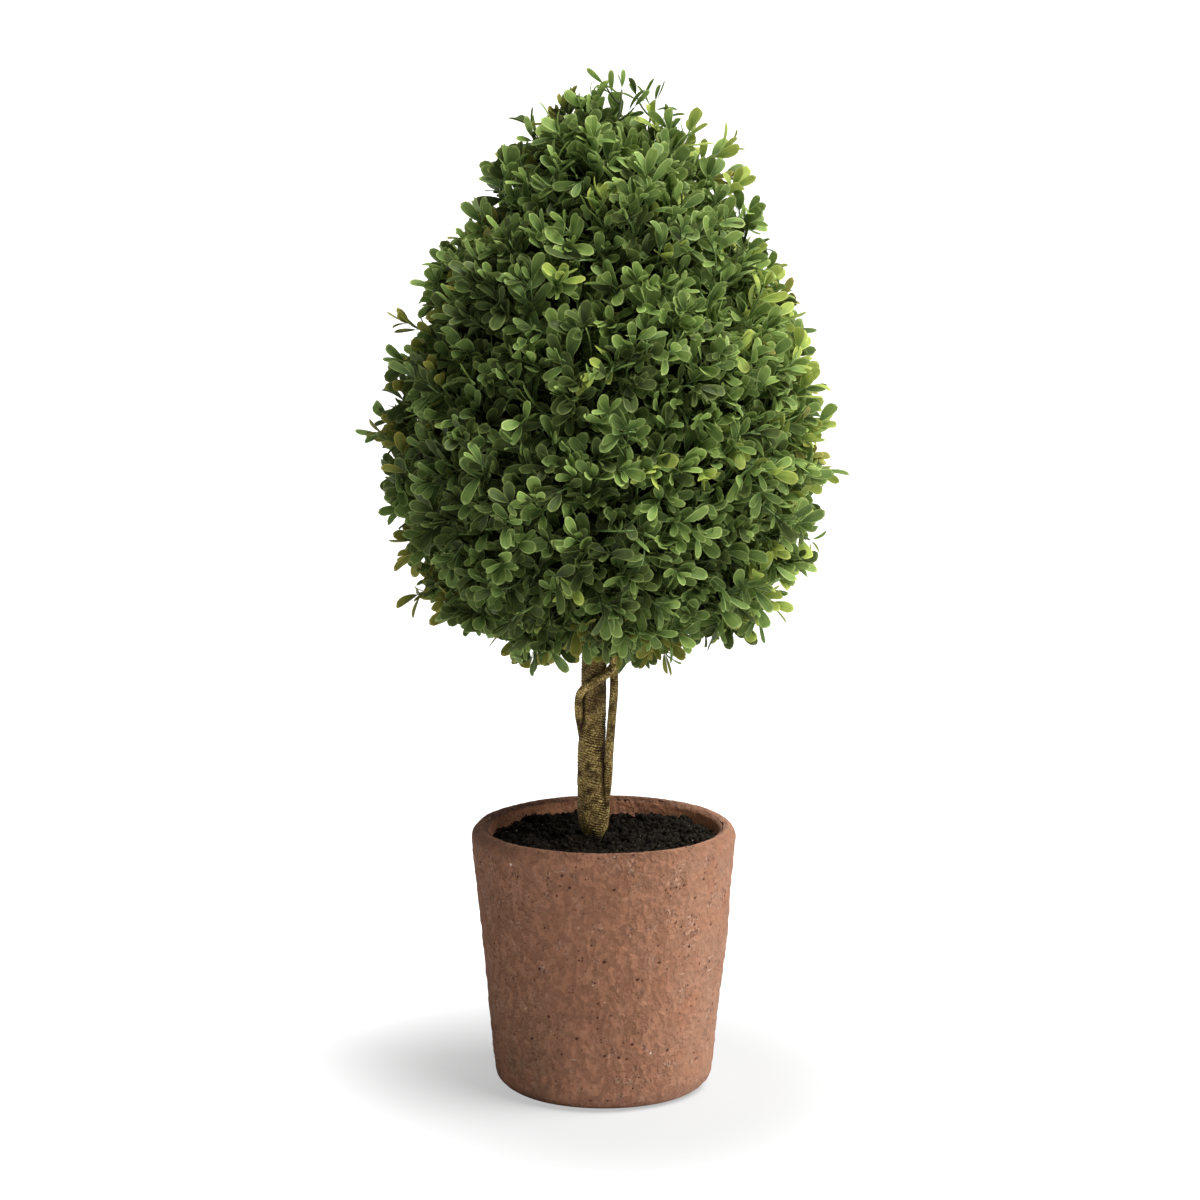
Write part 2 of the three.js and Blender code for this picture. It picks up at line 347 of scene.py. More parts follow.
def spokes(paths: Array, across: Array, count: int) -> Array:
    """Unit vectors square to each path at each step, anticlockwise round the path's heading.

    Spoke k is cos(2 pi k / count) a + sin(2 pi k / count) b, with a square to the heading and to `across`,
    and b square to the heading and to a.

    Args:
        paths: places as paths x steps x 3.
        across: one direction for each path, never along it.
        count: how many spokes.

    Returns:
        The spokes as paths x steps x count x 3.
    """
    heading = unit(np.gradient(paths, axis=1))[:, :, None]
    first = unit(np.cross(heading, across[:, None, None]))
    cosine, sine = circle(count).T[..., None]
    return cosine * first + sine * np.cross(heading, first)


def tubes(paths: Array, radii: Array, sides: int) -> Surface:
    """Carries a ring of points along each of many paths and closes both ends.

    Args:
        paths: places as paths x steps x 3.
        radii: as paths x steps.
        sides: points in each ring.

    Returns:
        All the tubes as one surface, with u round and v along each.
    """
    count, steps = radii.shape
    chord = unit(paths[:, -1] - paths[:, 0])
    across = np.where(np.abs(chord[:, 2:]) > 0.7, np.array([[1.0, 0.0, 0.0]]), UP)
    points = paths[:, :, None] + radii[:, :, None, None] * spokes(paths, across, sides)
    offsets = np.arange(count)[:, None, None] * steps * sides
    walls = (grid_faces(steps, sides, True)[None] + offsets).reshape(-1, 4)
    foot = np.arange(sides)[::-1]
    tip = (steps - 1) * sides + np.arange(sides)
    caps = (np.stack([foot, tip])[None] + offsets).reshape(-1, sides)
    around, along = np.meshgrid(np.arange(sides) / sides, np.linspace(0.0, 1.0, steps))
    return Surface(points.reshape(-1, 3), [walls, caps], {}, copied_map(around, along, count))


def smooth_path(waypoints: Array, count: int) -> Array:
    """A smooth path through waypoints, by the cubic that keeps each one's slope at half its neighbours' gap.

    Args:
        waypoints: places in order.
        count: how many places to return.

    Returns:
        Places evenly spaced in the path's own parameter.
    """
    one_before = 2 * waypoints[:1] - waypoints[1:2]
    one_after = 2 * waypoints[-1:] - waypoints[-2:-1]
    extended = np.concatenate([one_before, waypoints, one_after])
    place = np.linspace(0.0, len(waypoints) - 1.0, count)
    index = np.minimum(place.astype(int), len(waypoints) - 2)
    share = (place - index)[:, None]
    before, start, end, after = (extended[index + k] for k in range(4))
    slope_in, slope_out = (end - before) / 2.0, (after - start) / 2.0
    return (
        (2 * share**3 - 3 * share**2 + 1) * start
        + (share**3 - 2 * share**2 + share) * slope_in
        + (3 * share**2 - 2 * share**3) * end
        + (share**3 - share**2) * slope_out
    )


# ------------------------ shader nodes


class NodeGraph:
    """Lays and links the nodes of one material, group or world."""

    def __init__(self, tree: bpy.types.NodeTree) -> None:
        """Takes the tree to lay nodes in."""
        self.tree = tree

    def put(self, kind: str, inputs: dict | None = None, **settings: object) -> bpy.types.Node:
        """Adds a node.

        Args:
            kind: the node's type name.
            inputs: for each input, by name or number, a value or the socket that feeds it.
            **settings: the node's own properties.

        Returns:
            The new node.
        """
        node = self.tree.nodes.new(kind)
        for name, value in settings.items():
            setattr(node, name, value)
        for name, value in (inputs or {}).items():
            if isinstance(value, Socket):
                self.tree.links.new(value, node.inputs[name])
            else:
                node.inputs[name].default_value = value
        return node

    def mix(self, share: object, first: object, second: object) -> Socket:
        """Mixes two colours and returns the result's socket."""
        inputs = {0: share, 6: first, 7: second}
        return self.put("ShaderNodeMix", inputs, data_type="RGBA").outputs[2]

    def layered(self, colour: object, layers: tuple[tuple[object, object, Colour], ...]) -> Socket:
        """Lays paints over a colour in order, each as strongly as its mask times its share."""
        for mask, share, paint_over in layers:
            colour = self.mix(self.times(mask, share), colour, paint_over)
        return colour

    def number(self, operation: str, first: object, second: object) -> Socket:
        """Works out one operation on two numbers and returns its socket."""
        return self.put("ShaderNodeMath", {0: first, 1: second}, operation=operation).outputs[0]

    def times(self, first: object, second: object) -> Socket:
        """Multiplies two numbers."""
        return self.number("MULTIPLY", first, second)

    def plus(self, first: object, second: object) -> Socket:
        """Adds two numbers."""
        return self.number("ADD", first, second)

    def minus(self, first: object, second: object) -> Socket:
        """Takes the second number from the first."""
        return self.number("SUBTRACT", first, second)

    def bumped(self, height: Socket, strength: float, distance: float) -> Socket:
        """Turns a height into a shading normal."""
        inputs = {"Height": height, "Strength": strength, "Distance": distance}
        return self.put("ShaderNodeBump", inputs).outputs[0]

    def mark(self, name: str) -> Socket:
        """Reads one of the mesh's own marks."""
        return self.put("ShaderNodeAttribute", attribute_name=name).outputs["Fac"]

    def ease(self, value: object, low: object, high: object) -> Socket:
        """Rises smoothly from 0 at low to 1 at high."""
        inputs = {"Value": value, "From Min": low, "From Max": high}
        return self.put("ShaderNodeMapRange", inputs, interpolation_type="SMOOTHSTEP").outputs[0]

    def group(self, tree: bpy.types.NodeTree, **inputs: object) -> bpy.types.Node:
        """Places a shared group with this material's own values."""
        return self.put("ShaderNodeGroup", inputs, node_tree=tree)

    def stretched(self, place: Socket, scale: Triple) -> Socket:
        """Scales a pattern's coordinates along each axis."""
        return self.put("ShaderNodeMapping", {"Vector": place, "Scale": scale}).outputs[0]


def new_group(
    name: str, inputs: dict[str, float | None], outputs: list[str]
) -> tuple[NodeGraph, object, object]:
    """Starts a shared node group.

    Args:
        name: the group's name.
        inputs: each input's usual value, or None for a vector.
        outputs: the names of the numbers that it puts out.

    Returns:
        The group's graph, its input node's sockets and its output node's sockets.
    """
    tree = bpy.data.node_groups.new(name, "ShaderNodeTree")
    for label, value in inputs.items():
        kind = "NodeSocketVector" if value is None else "NodeSocketFloat"
        socket = tree.interface.new_socket(name=label, in_out="INPUT", socket_type=kind)
        if value is not None:
            socket.default_value = value
    for label in outputs:
        tree.interface.new_socket(name=label, in_out="OUTPUT", socket_type="NodeSocketFloat")
    graph = NodeGraph(tree)
    return graph, graph.put("NodeGroupInput").outputs, graph.put("NodeGroupOutput").inputs


class Effects:
    """The effects that several finishes share, each a node group that is built once."""

    grain: float = 0.6              # how strong the finer octaves of the noise are
    least_size: float = 0.35        # the narrowest dot, as a share of Size
    dot_core: float = 0.70          # the share of a dot that is solid, inside its soft edge
    rim_across: Pair = (0.74, 0.94)      # shares of the half width where the rim's painted highlight comes in
    rim_along: Pair = (0.88, 0.98)       # shares of the length where it comes in at the tip
    rib_across: Pair = (0.02, 0.16)      # shares of the half width where the rib fades
    tip_along: Pair = (0.15, 1.0)

    def __init__(self) -> None:
        """Builds every group."""
        self.patches = self._patches()
        self.dots = self._dots()
        self.blade = self._blade()

    def _patches(self) -> bpy.types.NodeTree:
        """Soft-edged patches: layered noise, taken from none at Low to full at High."""
        values = {"Vector": None, "Scale": 100.0, "Detail": 4.0, "Low": 0.4, "High": 0.6}
        graph, given, result = new_group("soft_patches", values, ["Mask"])
        inputs = {"Vector": given["Vector"], "Scale": given["Scale"], "Detail": given["Detail"]}
        noise = graph.put("ShaderNodeTexNoise", inputs | {"Roughness": self.grain})
        mask = graph.ease(noise.outputs[0], given["Low"], given["High"])
        graph.tree.links.new(mask, result["Mask"])
        return graph.tree

    def _dots(self) -> bpy.types.NodeTree:
        """Scattered dots: one in each of a Share of random cells, as wide as Size shares of the cell."""
        values = {"Vector": None, "Scale": 200.0, "Size": 0.2, "Share": 0.3}
        graph, given, result = new_group("scattered_dots", values, ["Mask"])
        cells = graph.put("ShaderNodeTexVoronoi", {"Vector": given["Vector"], "Scale": given["Scale"]})
        lottery = graph.put("ShaderNodeSeparateColor", {"Color": cells.outputs["Color"]}).outputs
        width = graph.times(given["Size"], graph.plus(lottery[1], self.least_size))
        core = graph.times(width, self.dot_core)
        reach = graph.minus(1.0, graph.ease(cells.outputs["Distance"], core, width))
        chosen = graph.number("LESS_THAN", lottery[0], given["Share"])
        graph.tree.links.new(graph.times(reach, chosen), result["Mask"])
        return graph.tree

    def _blade(self) -> bpy.types.NodeTree:
        """The marks of one leaf from its own map, with u across and v from stalk to tip."""
        graph, given, result = new_group("leaf_marks", {"Map": None}, ["Rim", "Rib", "Tip", "Mottle"])
        across, along, _ = graph.put("ShaderNodeSeparateXYZ", {0: given["Map"]}).outputs
        edge = graph.times(graph.number("ABSOLUTE", graph.minus(across, 0.5), 0.0), 2.0)
        rim = graph.number("MAXIMUM", graph.ease(edge, *self.rim_across), graph.ease(along, *self.rim_along))
        rib = graph.minus(1.0, graph.ease(edge, *self.rib_across))
        inputs = {"Vector": given["Map"], "Scale": 3.2, "Detail": 3.0, "Roughness": self.grain}
        noise = graph.put("ShaderNodeTexNoise", inputs).outputs[0]
        graph.tree.links.new(rim, result["Rim"])
        graph.tree.links.new(rib, result["Rib"])
        graph.tree.links.new(graph.ease(along, *self.tip_along), result["Tip"])
        graph.tree.links.new(noise, result["Mottle"])
        return graph.tree


def new_material(name: str) -> tuple[Material, NodeGraph, bpy.types.Node]:
    """Starts a material and returns it with its graph and its Principled shader."""
    material = bpy.data.materials.new(name)
    material.use_nodes = True
    shader = material.node_tree.nodes["Principled BSDF"]
    return material, NodeGraph(material.node_tree), shader


def feed(
    shader: bpy.types.Node, graph: NodeGraph, colour: Socket, normal: Socket, roughness: float, shine: float
) -> None:
    """Links a finish's colour and normal to its shader and sets its Roughness and Specular IOR Level."""
    graph.tree.links.new(colour, shader.inputs["Base Color"])
    graph.tree.links.new(normal, shader.inputs["Normal"])
    shader.inputs["Roughness"].default_value = roughness
    shader.inputs["Specular IOR Level"].default_value = shine


@dataclass(frozen=True)
class Patches:
    """A layer of soft patches. It fades in between a low and a high level of its noise."""

    scale: float
    detail: float
    low: float
    high: float

    def over(self, place: Socket, graph: NodeGraph, effects: Effects) -> Socket:
        """Lays the patches over the given coordinates and returns their mask."""
        inputs = {"Scale": self.scale, "Detail": self.detail, "Low": self.low, "High": self.high}
        return graph.group(effects.patches, Vector=place, **inputs).outputs["Mask"]


@dataclass(frozen=True)
class Dots:
    """A layer of scattered dots, with their size as a share of their cell."""

    scale: float
    size: float

    def over(self, place: Socket, share: object, graph: NodeGraph, effects: Effects) -> Socket:
        """Scatters dots over a share of the cells and returns their mask."""
        inputs = {"Scale": self.scale, "Size": self.size, "Share": share}
        return graph.group(effects.dots, Vector=place, **inputs).outputs["Mask"]


@dataclass(frozen=True)
class ClayFinish:
    """Rough reddish clay, cast with pits, with chalky specks and grey bloom, painted light on its inner wall
    and painted shade along its lip.
    """

    body: Colour = paint(140, 96, 72)
    scorched: Colour = paint(98, 62, 43)
    blush: Colour = paint(150, 109, 84)
    bloom: Colour = paint(104, 82, 62)
    dust: Colour = paint(131, 102, 83)
    bright: Colour = paint(208, 145, 110)
    pit: Colour = paint(72, 33, 18)
    chalk: Colour = paint(204, 186, 170)
    lip_shade: Colour = paint(70, 45, 31)
    mottle: Patches = Patches(250.0, 8.0, 0.44, 0.60)
    clouds: Patches = Patches(24.0, 4.0, 0.40, 0.66)
    blushes: Patches = Patches(110.0, 7.0, 0.46, 0.66)
    grains: Patches = Patches(1100.0, 3.0, 0.48, 0.58)
    clusters: Patches = Patches(46.0, 3.0, 0.46, 0.60)      # where pits and scratches gather
    crumbly: Patches = Patches(85.0, 5.0, 0.55, 0.63)       # where flakes and chips gather
    flakes: Patches = Patches(620.0, 3.0, 0.54, 0.58)
    chips: Patches = Patches(560.0, 3.0, 0.55, 0.59)
    scratches: Patches = Patches(210.0, 2.0, 0.70, 0.74)
    dustings: Patches = Patches(60.0, 5.0, 0.30, 0.62)
    blooms: Patches = Patches(60.0, 6.0, 0.40, 0.62)
    coarse_pits: Dots = Dots(250.0, 0.24)
    fine_pits: Dots = Dots(560.0, 0.30)
    specks: Dots = Dots(150.0, 0.13)
    tall: Triple = (1.0, 1.0, 0.65)                         # draws a pattern out along the height
    level: Triple = (0.22, 0.22, 3.0)                       # draws it out round the pot
    dusty_side: Pair = (0.0, 0.07)           # from no dust to full dust, left to right
    bloom_side: Pair = (0.01, -0.05)
    bloom_height: Pair = (0.09, 0.02)
    rugged_side: Pair = (0.06, 0.01)
    least_rugged: float = 0.35
    relief: float = 0.0042
    roughness: float = 0.92
    shine: float = 0.25

    def material(self, effects: Effects) -> Material:
        """Builds the finish, which reads the pot's `pit`, `inner` and `lip` marks."""
        material, graph, shader = new_material("rough_clay")
        place = graph.put("ShaderNodeTexCoord").outputs["Object"]
        tall = graph.stretched(place, self.tall)
        side, _, height = graph.put("ShaderNodeSeparateXYZ", {0: place}).outputs

        def lay(patches: Patches, where: Socket = place) -> Socket:
            """Lays one layer of patches."""
            return patches.over(where, graph, effects)

        mottle = lay(self.mottle, tall)
        cluster = lay(self.clusters)
        crumbly = lay(self.crumbly)
        coarse = self.coarse_pits.over(place, graph.times(cluster, 0.16), graph, effects)
        fine = self.fine_pits.over(place, graph.times(cluster, 0.20), graph, effects)
        pits = graph.number("MAXIMUM", coarse, fine)
        chips = graph.times(lay(self.chips, tall), crumbly)
        low_left = graph.times(graph.ease(side, *self.bloom_side), graph.ease(height, *self.bloom_height))
        rough_side = graph.ease(side, *self.rugged_side)
        rugged = graph.plus(graph.times(rough_side, 1.0 - self.least_rugged), self.least_rugged)
        deep = graph.ease(graph.mark("pit"), 0.10, 0.55)
        colour = graph.layered(self.body, (
            (lay(self.clouds), 0.25, self.scorched),
            (lay(self.blushes, tall), 0.50, self.blush),
            (graph.times(graph.ease(side, *self.dusty_side), lay(self.dustings)), 0.60, self.dust),
            (graph.times(low_left, lay(self.blooms)), 0.60, self.bloom),
            (graph.times(mottle, rugged), 0.36, self.scorched),
            (lay(self.grains), 0.18, self.blush),
            (graph.times(lay(self.flakes), crumbly), 0.20, self.chalk),
            (chips, 0.50, self.pit),
            (graph.times(lay(self.scratches, graph.stretched(place, self.level)), cluster), 0.55, self.chalk),
            (self.specks.over(place, 0.05, graph, effects), 0.90, self.chalk),
            # painted light: the inner wall is lightened as if lit
            (graph.mark("inner"), 0.85, self.bright),
            # painted shade along the lip's inner edge and shoulder, strongest at the front
            (graph.mark("lip"), 0.80, self.lip_shade),
            (graph.number("MAXIMUM", pits, deep), 1.0, self.pit),
        ))

        inputs = {"Vector": place, "Scale": 340.0, "Detail": 7.0, "Roughness": 0.62}
        rough = graph.put("ShaderNodeTexNoise", inputs).outputs[0]
        raised = graph.times(graph.minus(rough, graph.times(mottle, 0.30)), rugged)
        for sunk, depth in ((chips, 0.20), (pits, 0.25)):
            raised = graph.minus(raised, graph.times(sunk, depth))
        feed(shader, graph, colour, graph.bumped(raised, 1.0, self.relief), self.roughness, self.shine)
        return material


@dataclass(frozen=True)
class SoilFinish:
    """Dark crumbly soil: a black-brown body with paler fibres."""

    body: Colour = paint(12, 9, 6)
    pale: Colour = paint(42, 35, 26)
    fibres: Patches = Patches(520.0, 5.0, 0.42, 0.72)
    share: float = 0.35
    relief: float = 0.0008
    roughness: float = 0.95
    shine: float = 0.05

    def material(self, effects: Effects) -> Material:
        """Builds the finish from Object coordinates and returns the material."""
        material, graph, shader = new_material("soil_bed")
        place = graph.put("ShaderNodeTexCoord").outputs["Object"]
        fibres = self.fibres.over(place, graph, effects)
        colour = graph.layered(self.body, ((fibres, self.share, self.pale),))
        feed(shader, graph, colour, graph.bumped(fibres, 0.8, self.relief), self.roughness, self.shine)
        return material


@dataclass(frozen=True)
class CrumbFinish:
    """The finish of small crumbs and grains, from the map that all copies share."""

    name: str
    body: Colour
    pale: Colour
    roughness: float = 0.9
    relief: float = 0.0004
    shine: float = 0.06

    def material(self) -> Material:
        """Builds a mottle on the shared map and returns the material."""
        material, graph, shader = new_material(self.name)
        place = graph.put("ShaderNodeUVMap", uv_map=REPEAT_MAP).outputs[0]
        noise = graph.put("ShaderNodeTexNoise", {"Vector": place, "Scale": 5.0, "Detail": 3.0}).outputs[0]
        colour = graph.mix(graph.ease(noise, 0.45, 0.70), self.body, self.pale)
        feed(shader, graph, colour, graph.bumped(noise, 0.4, self.relief), self.roughness, self.shine)
        return material


@dataclass(frozen=True)
class BarkFinish:
    """Khaki bark wrap with dark flecks and red-brown blotches, and painted shade in its hollows, where limbs
    touch and under the foliage.
    """

    body: Colour = paint(134, 110, 60)
    crest: Colour = paint(224, 198, 128)
    hollow: Colour = paint(44, 27, 11)
    blotch: Colour = paint(70, 38, 22)
    fibres: Patches = Patches(1000.0, 5.0, 0.46, 0.60)
    blotches: Patches = Patches(170.0, 5.0, 0.54, 0.66)
    flecks: Patches = Patches(1300.0, 5.0, 0.50, 0.58)
    crest_height: Pair = (0.34, 0.60)        # relief over which the hollows' painted shade fades out toward the crests
    relief: float = 0.0005
    roughness: float = 0.8
    shine: float = 0.15

    def material(self, effects: Effects) -> Material:
        """Builds the finish, which reads the limb's `relief` mark and its mark of painted shade."""
        material, graph, shader = new_material("bark_wrap")
        place = graph.put("ShaderNodeTexCoord").outputs["Object"]
        fibres = self.fibres.over(place, graph, effects)
        flecks = self.flecks.over(place, graph, effects)
        sunk = graph.minus(1.0, graph.ease(graph.mark("relief"), *self.crest_height))
        colour = graph.layered(self.body, (
            (fibres, 1.0, self.crest),
            (flecks, 0.45, self.hollow),
            (self.blotches.over(place, graph, effects), 0.45, self.blotch),
            # painted shade in the relief's hollows
            (sunk, 0.95, self.hollow),
            # painted shade beside the stems and under the foliage
            (graph.mark("groove"), 0.85, self.hollow),
        ))
        normal = graph.bumped(graph.minus(fibres, flecks), 0.6, self.relief)
        feed(shader, graph, colour, normal, self.roughness, self.shine)
        return material


@dataclass(frozen=True)
class TwigFinish:
    """Moulded twigs: one colour that darkens toward the foot, with faint rings."""

    name: str
    foot: Colour
    tip: Colour
    banding: Triple = (2.0, 14.0, 1.0)
    relief: float = 0.0003
    roughness: float = 0.6
    shine: float = 0.5

    def material(self) -> Material:
        """Builds the finish on the twig's own map and returns the material."""
        material, graph, shader = new_material(self.name)
        place = graph.put("ShaderNodeUVMap", uv_map=REPEAT_MAP).outputs[0]
        along = graph.put("ShaderNodeSeparateXYZ", {0: place}).outputs[1]
        banded = graph.stretched(place, self.banding)
        noise = graph.put("ShaderNodeTexNoise", {"Vector": banded, "Scale": 1.0, "Detail": 3.0}).outputs[0]
        share = graph.ease(graph.plus(along, graph.times(noise, 0.5)), 0.2, 1.3)
        colour = graph.mix(share, self.foot, self.tip)
        feed(shader, graph, colour, graph.bumped(noise, 0.4, self.relief), self.roughness, self.shine)
        return material


TWIG_FINISHES = {
    "bough": TwigFinish("bough_brown", paint(58, 46, 28), paint(74, 66, 38)),
    "branchlet": TwigFinish("branchlet_olive", paint(60, 56, 32), paint(66, 80, 40)),
    "twig": TwigFinish("twig_green", paint(58, 74, 38), paint(92, 118, 58)),
    "sprig_stalk": TwigFinish("sprig_stalk_dark", paint(46, 58, 34), paint(62, 74, 42)),
}


@dataclass(frozen=True)
class LeafFinish:
    """A soft plastic leaf: darker at the stalk, with a pale rim that is a painted highlight on the edge and
    tip, a faint rib and a satin face.
    """

    name: str
    face: Colour
    base: Colour
    # the rim's colour, a painted highlight along the edge and tip
    rim: Colour
    rib_share: float = 0.30
    rim_highlight_share: float = 0.75
    relief: float = 0.0004
    roughness: float = 0.52
    shine: float = 0.12
    glow: float = 0.28          # share of the light that passes through the blade

    def material(self, effects: Effects) -> Material:
        """Builds the finish on the leaf's own map and returns the material."""
        material, graph, shader = new_material(self.name)
        place = graph.put("ShaderNodeUVMap", uv_map=REPEAT_MAP).outputs[0]
        marks = graph.group(effects.blade, Map=place).outputs
        uneven = graph.minus(marks["Mottle"], 0.5)
        colour = graph.mix(graph.ease(graph.plus(marks["Tip"], uneven), 0.0, 0.8), self.base, self.face)
        colour = graph.layered(colour, (
            (marks["Rib"], self.rib_share, self.base),
            # painted highlight along the edge and tip
            (marks["Rim"], self.rim_highlight_share, self.rim),
        ))
        normal = graph.bumped(graph.minus(marks["Mottle"], marks["Rib"]), 0.35, self.relief)
        feed(shader, graph, colour, normal, self.roughness, self.shine)
        through = graph.put("ShaderNodeBsdfTranslucent", {"Color": colour})
        blend = graph.put("ShaderNodeMixShader", {0: self.glow, 1: shader.outputs[0], 2: through.outputs[0]})
        graph.tree.links.new(blend.outputs[0], graph.tree.nodes["Material Output"].inputs["Surface"])
        return material


class Tint(Enum):
    """The colours that the leaves are dealt in, spray by spray: darker, middle and lighter copies of one
    green as painted shade and painted light, a yellower green that is partly painted light, and olive.
    """

    DEEP = 0
    MIDDLE = 1
    LIGHT = 2
    FRESH_AND_LIT = 3
    OLIVE = 4

    @property
    def finish(self) -> LeafFinish:
        """This tint's leaf finish."""
        return LEAF_FINISHES[self]


# The darker, middle and lighter greens are shaded and lit copies of one green, as painted shade and painted
# light; the yellower one is partly painted light.
LEAF_FINISHES = {
    Tint.DEEP: LeafFinish("leaf_shaded", paint(66, 79, 38), paint(46, 57, 28), paint(114, 126, 70)),
    Tint.MIDDLE: LeafFinish("leaf_middle", paint(94, 115, 57), paint(68, 90, 44), paint(148, 166, 98)),
    Tint.LIGHT: LeafFinish("leaf_lit", paint(116, 139, 69), paint(86, 111, 53), paint(172, 188, 114)),
    Tint.FRESH_AND_LIT: LeafFinish("leaf_fresh_and_lit", paint(143, 158, 72), paint(110, 132, 60), paint(184, 191, 104)),
    Tint.OLIVE: LeafFinish("leaf_olive", paint(112, 115, 48), paint(82, 91, 40), paint(166, 154, 78)),
}

SHADE_FINISH = LeafFinish("leaf_shade", paint(50, 62, 32), paint(36, 46, 24), paint(84, 98, 54))

# For each tint's number, the darker tint that a spray's lower leaves take, as painted shade.
NEXT_DEEPER = np.array([tint.value for tint in (Tint.DEEP, Tint.DEEP, Tint.MIDDLE, Tint.LIGHT, Tint.MIDDLE)])


# ------------------------ pot and soil


def arc(centre: Pair, radius: float, start: float, end: float, count: int) -> Array:
    """Places on a round corner: centre + radius (cos a, sin a), with a from start to end in degrees."""
    angle = np.radians(np.linspace(start, end, count))
    return np.array(centre) + radius * np.stack([np.cos(angle), np.sin(angle)], -1)


def straight(start: Pair, end: Pair, count: int) -> Array:
    """Places evenly along a line, without its two ends."""
    share = np.linspace(0.0, 1.0, count + 2)[1:-1, None]
    return np.array(start) * (1.0 - share) + np.array(end) * share


@dataclass
class Pot:
    """The tapered round pot, one closed wall with a rounded rim and foot."""

    height: float
    top_radius: float
    base_radius: float = 0.0633
    rim_round: float = 0.0078
    foot_round: float = 0.0135
    lip_round: float = 0.0022
    rim_fall: float = 0.0019        # how far the rim's top falls toward its inner edge
    back_rise: float = 0.0013       # how much higher the rim stands at the back
    wall: float = 0.010
    floor: float = 0.012
    columns: int = 540
    wall_rows: int = 118
    inner_rows: int = 18            # rows from the middle of the lip's curve down to the floor's middle
    pits: int = 54
    pit_rows: tuple[int, int] = (20, 130)       # the rows between which pits lie
    pit_side: float = -0.9          # the angle round which half of the pits gather, and their scatter
    pit_scatter: float = 0.9
    pit_size: Pair = (0.0006, 0.0015)
    pit_depth: float = 0.0009
    waves: Ripple = Ripple(0.0008, 0.045, 1)
    dents: Ripple = Ripple(0.00030, 0.0070)
    grit: Ripple = Ripple(0.00034, 0.0034, 2)
    shoulder_shade: float = 0.46         # how dark the painted shade on the shoulder is, against the inner edge's
    seed: int = 11

    @property
    def slope(self) -> float:
        """How fast the outer wall widens with height."""
        rise = self.height - self.rim_round - self.foot_round
        return (self.top_radius - self.base_radius) / rise

    def inner_radius(self, height: float) -> float:
        """The radius of the inner wall at a height."""
        return self.top_radius - self.wall - (self.height - self.lip_round - height) * self.slope

    def profile(self, soil_level: float) -> Array:
        """The wall's section as (radius, height), from the underside's middle round to the inner floor's.

        Args:
            soil_level: where the soil hides the inner wall.

        Returns:
            Places in order, close together where the wall shows.
        """
        shoulder = self.height - self.rim_round
        lip = self.height - self.lip_round
        inner_top = (self.top_radius - self.wall, lip)
        at_soil = (self.inner_radius(soil_level), soil_level)
        at_floor = (self.inner_radius(self.floor), self.floor)
        foot_inner = self.base_radius - self.foot_round
        section = np.concatenate([
            straight((0.0, 0.0), (foot_inner, 0.0), 4),
            arc((foot_inner, self.foot_round), self.foot_round, -90.0, 0.0, 14),
            straight((self.base_radius, self.foot_round), (self.top_radius, shoulder), self.wall_rows),
            arc((self.top_radius - self.rim_round, shoulder), self.rim_round, 0.0, 90.0, 15),
            arc((inner_top[0] + self.lip_round, lip), self.lip_round, 90.0, 180.0, 7),
            straight(inner_top, at_soil, 8),
            straight(at_soil, at_floor, 4),
            straight(at_floor, (0.0, self.floor), 3),
        ])
        rim = eased(section[:, 1], soil_level, lip)
        section[:, 1] -= self.rim_fall * rim * eased(self.top_radius - section[:, 0], 0.0035, 0.0095)
        return section

    def pit_field(self, rows: Array, rng: Random) -> Array:
        """Depths of small round pits scattered over the outer wall.

        Each pit's depth falls as 1 - (d / r)^2 with the distance d from its middle. Only the grid points next
        to it are worked out, and where pits meet the deeper one holds.

        Args:
            rows: the profile's (radius, height) rows.
            rng: the source of random numbers.

        Returns:
            Depths as shares of each pit's radius, rows x columns, from 0 to 1.
        """
        row = rng.integers(*self.pit_rows, self.pits)
        gathered = rng.normal(self.pit_side, self.pit_scatter, self.pits) % TURN
        anywhere = rng.uniform(0.0, TURN, self.pits)
        turn = np.where(rng.random(self.pits) < 0.5, gathered, anywhere)
        smallest, largest = self.pit_size
        size = smallest + (largest - smallest) * rng.random(self.pits) ** 2
        near = np.arange(-3, 4)
        step = TURN / self.columns
        column = np.rint(turn / step).astype(int)
        grid_rows = (row[:, None] + near)[:, :, None]
        grid_columns = ((column[:, None] + near) % self.columns)[:, None, :]
        aside = (grid_columns * step - turn[:, None, None] + math.pi) % TURN - math.pi
        aside = aside * rows[grid_rows, 0]
        above = rows[grid_rows, 1] - rows[row, 1][:, None, None]
        depth = np.clip(1.0 - (aside**2 + above**2) / size[:, None, None] ** 2, 0.0, 1.0)
        result = np.zeros((len(rows), self.columns))
        np.maximum.at(result, (grid_rows, grid_columns), depth)
        return result

    def worn(self, rows: Array, ring: Array, pits: Array) -> Array:
        """Revolves the profile and wears it.

        A point moves along the wall's own normal by slow waves, hammered dents and fine grit, less its pits.
        The rim is calmer, the foot stays flat, and the back of the rim stands a little higher than the front.

        Args:
            rows: the profile's (radius, height) rows.
            ring: each column's (cosine, sine).
            pits: the pits' depths as shares, rows x columns.

        Returns:
            Places as rows x columns x 3.
        """
        def revolved(section: Array) -> Array:
            """Turns (radius, height) rows round the axis."""
            flat = section[:, :1, None] * ring
            level = np.broadcast_to(section[:, 1, None, None], flat.shape[:2] + (1,))
            return np.concatenate([flat, level], -1)

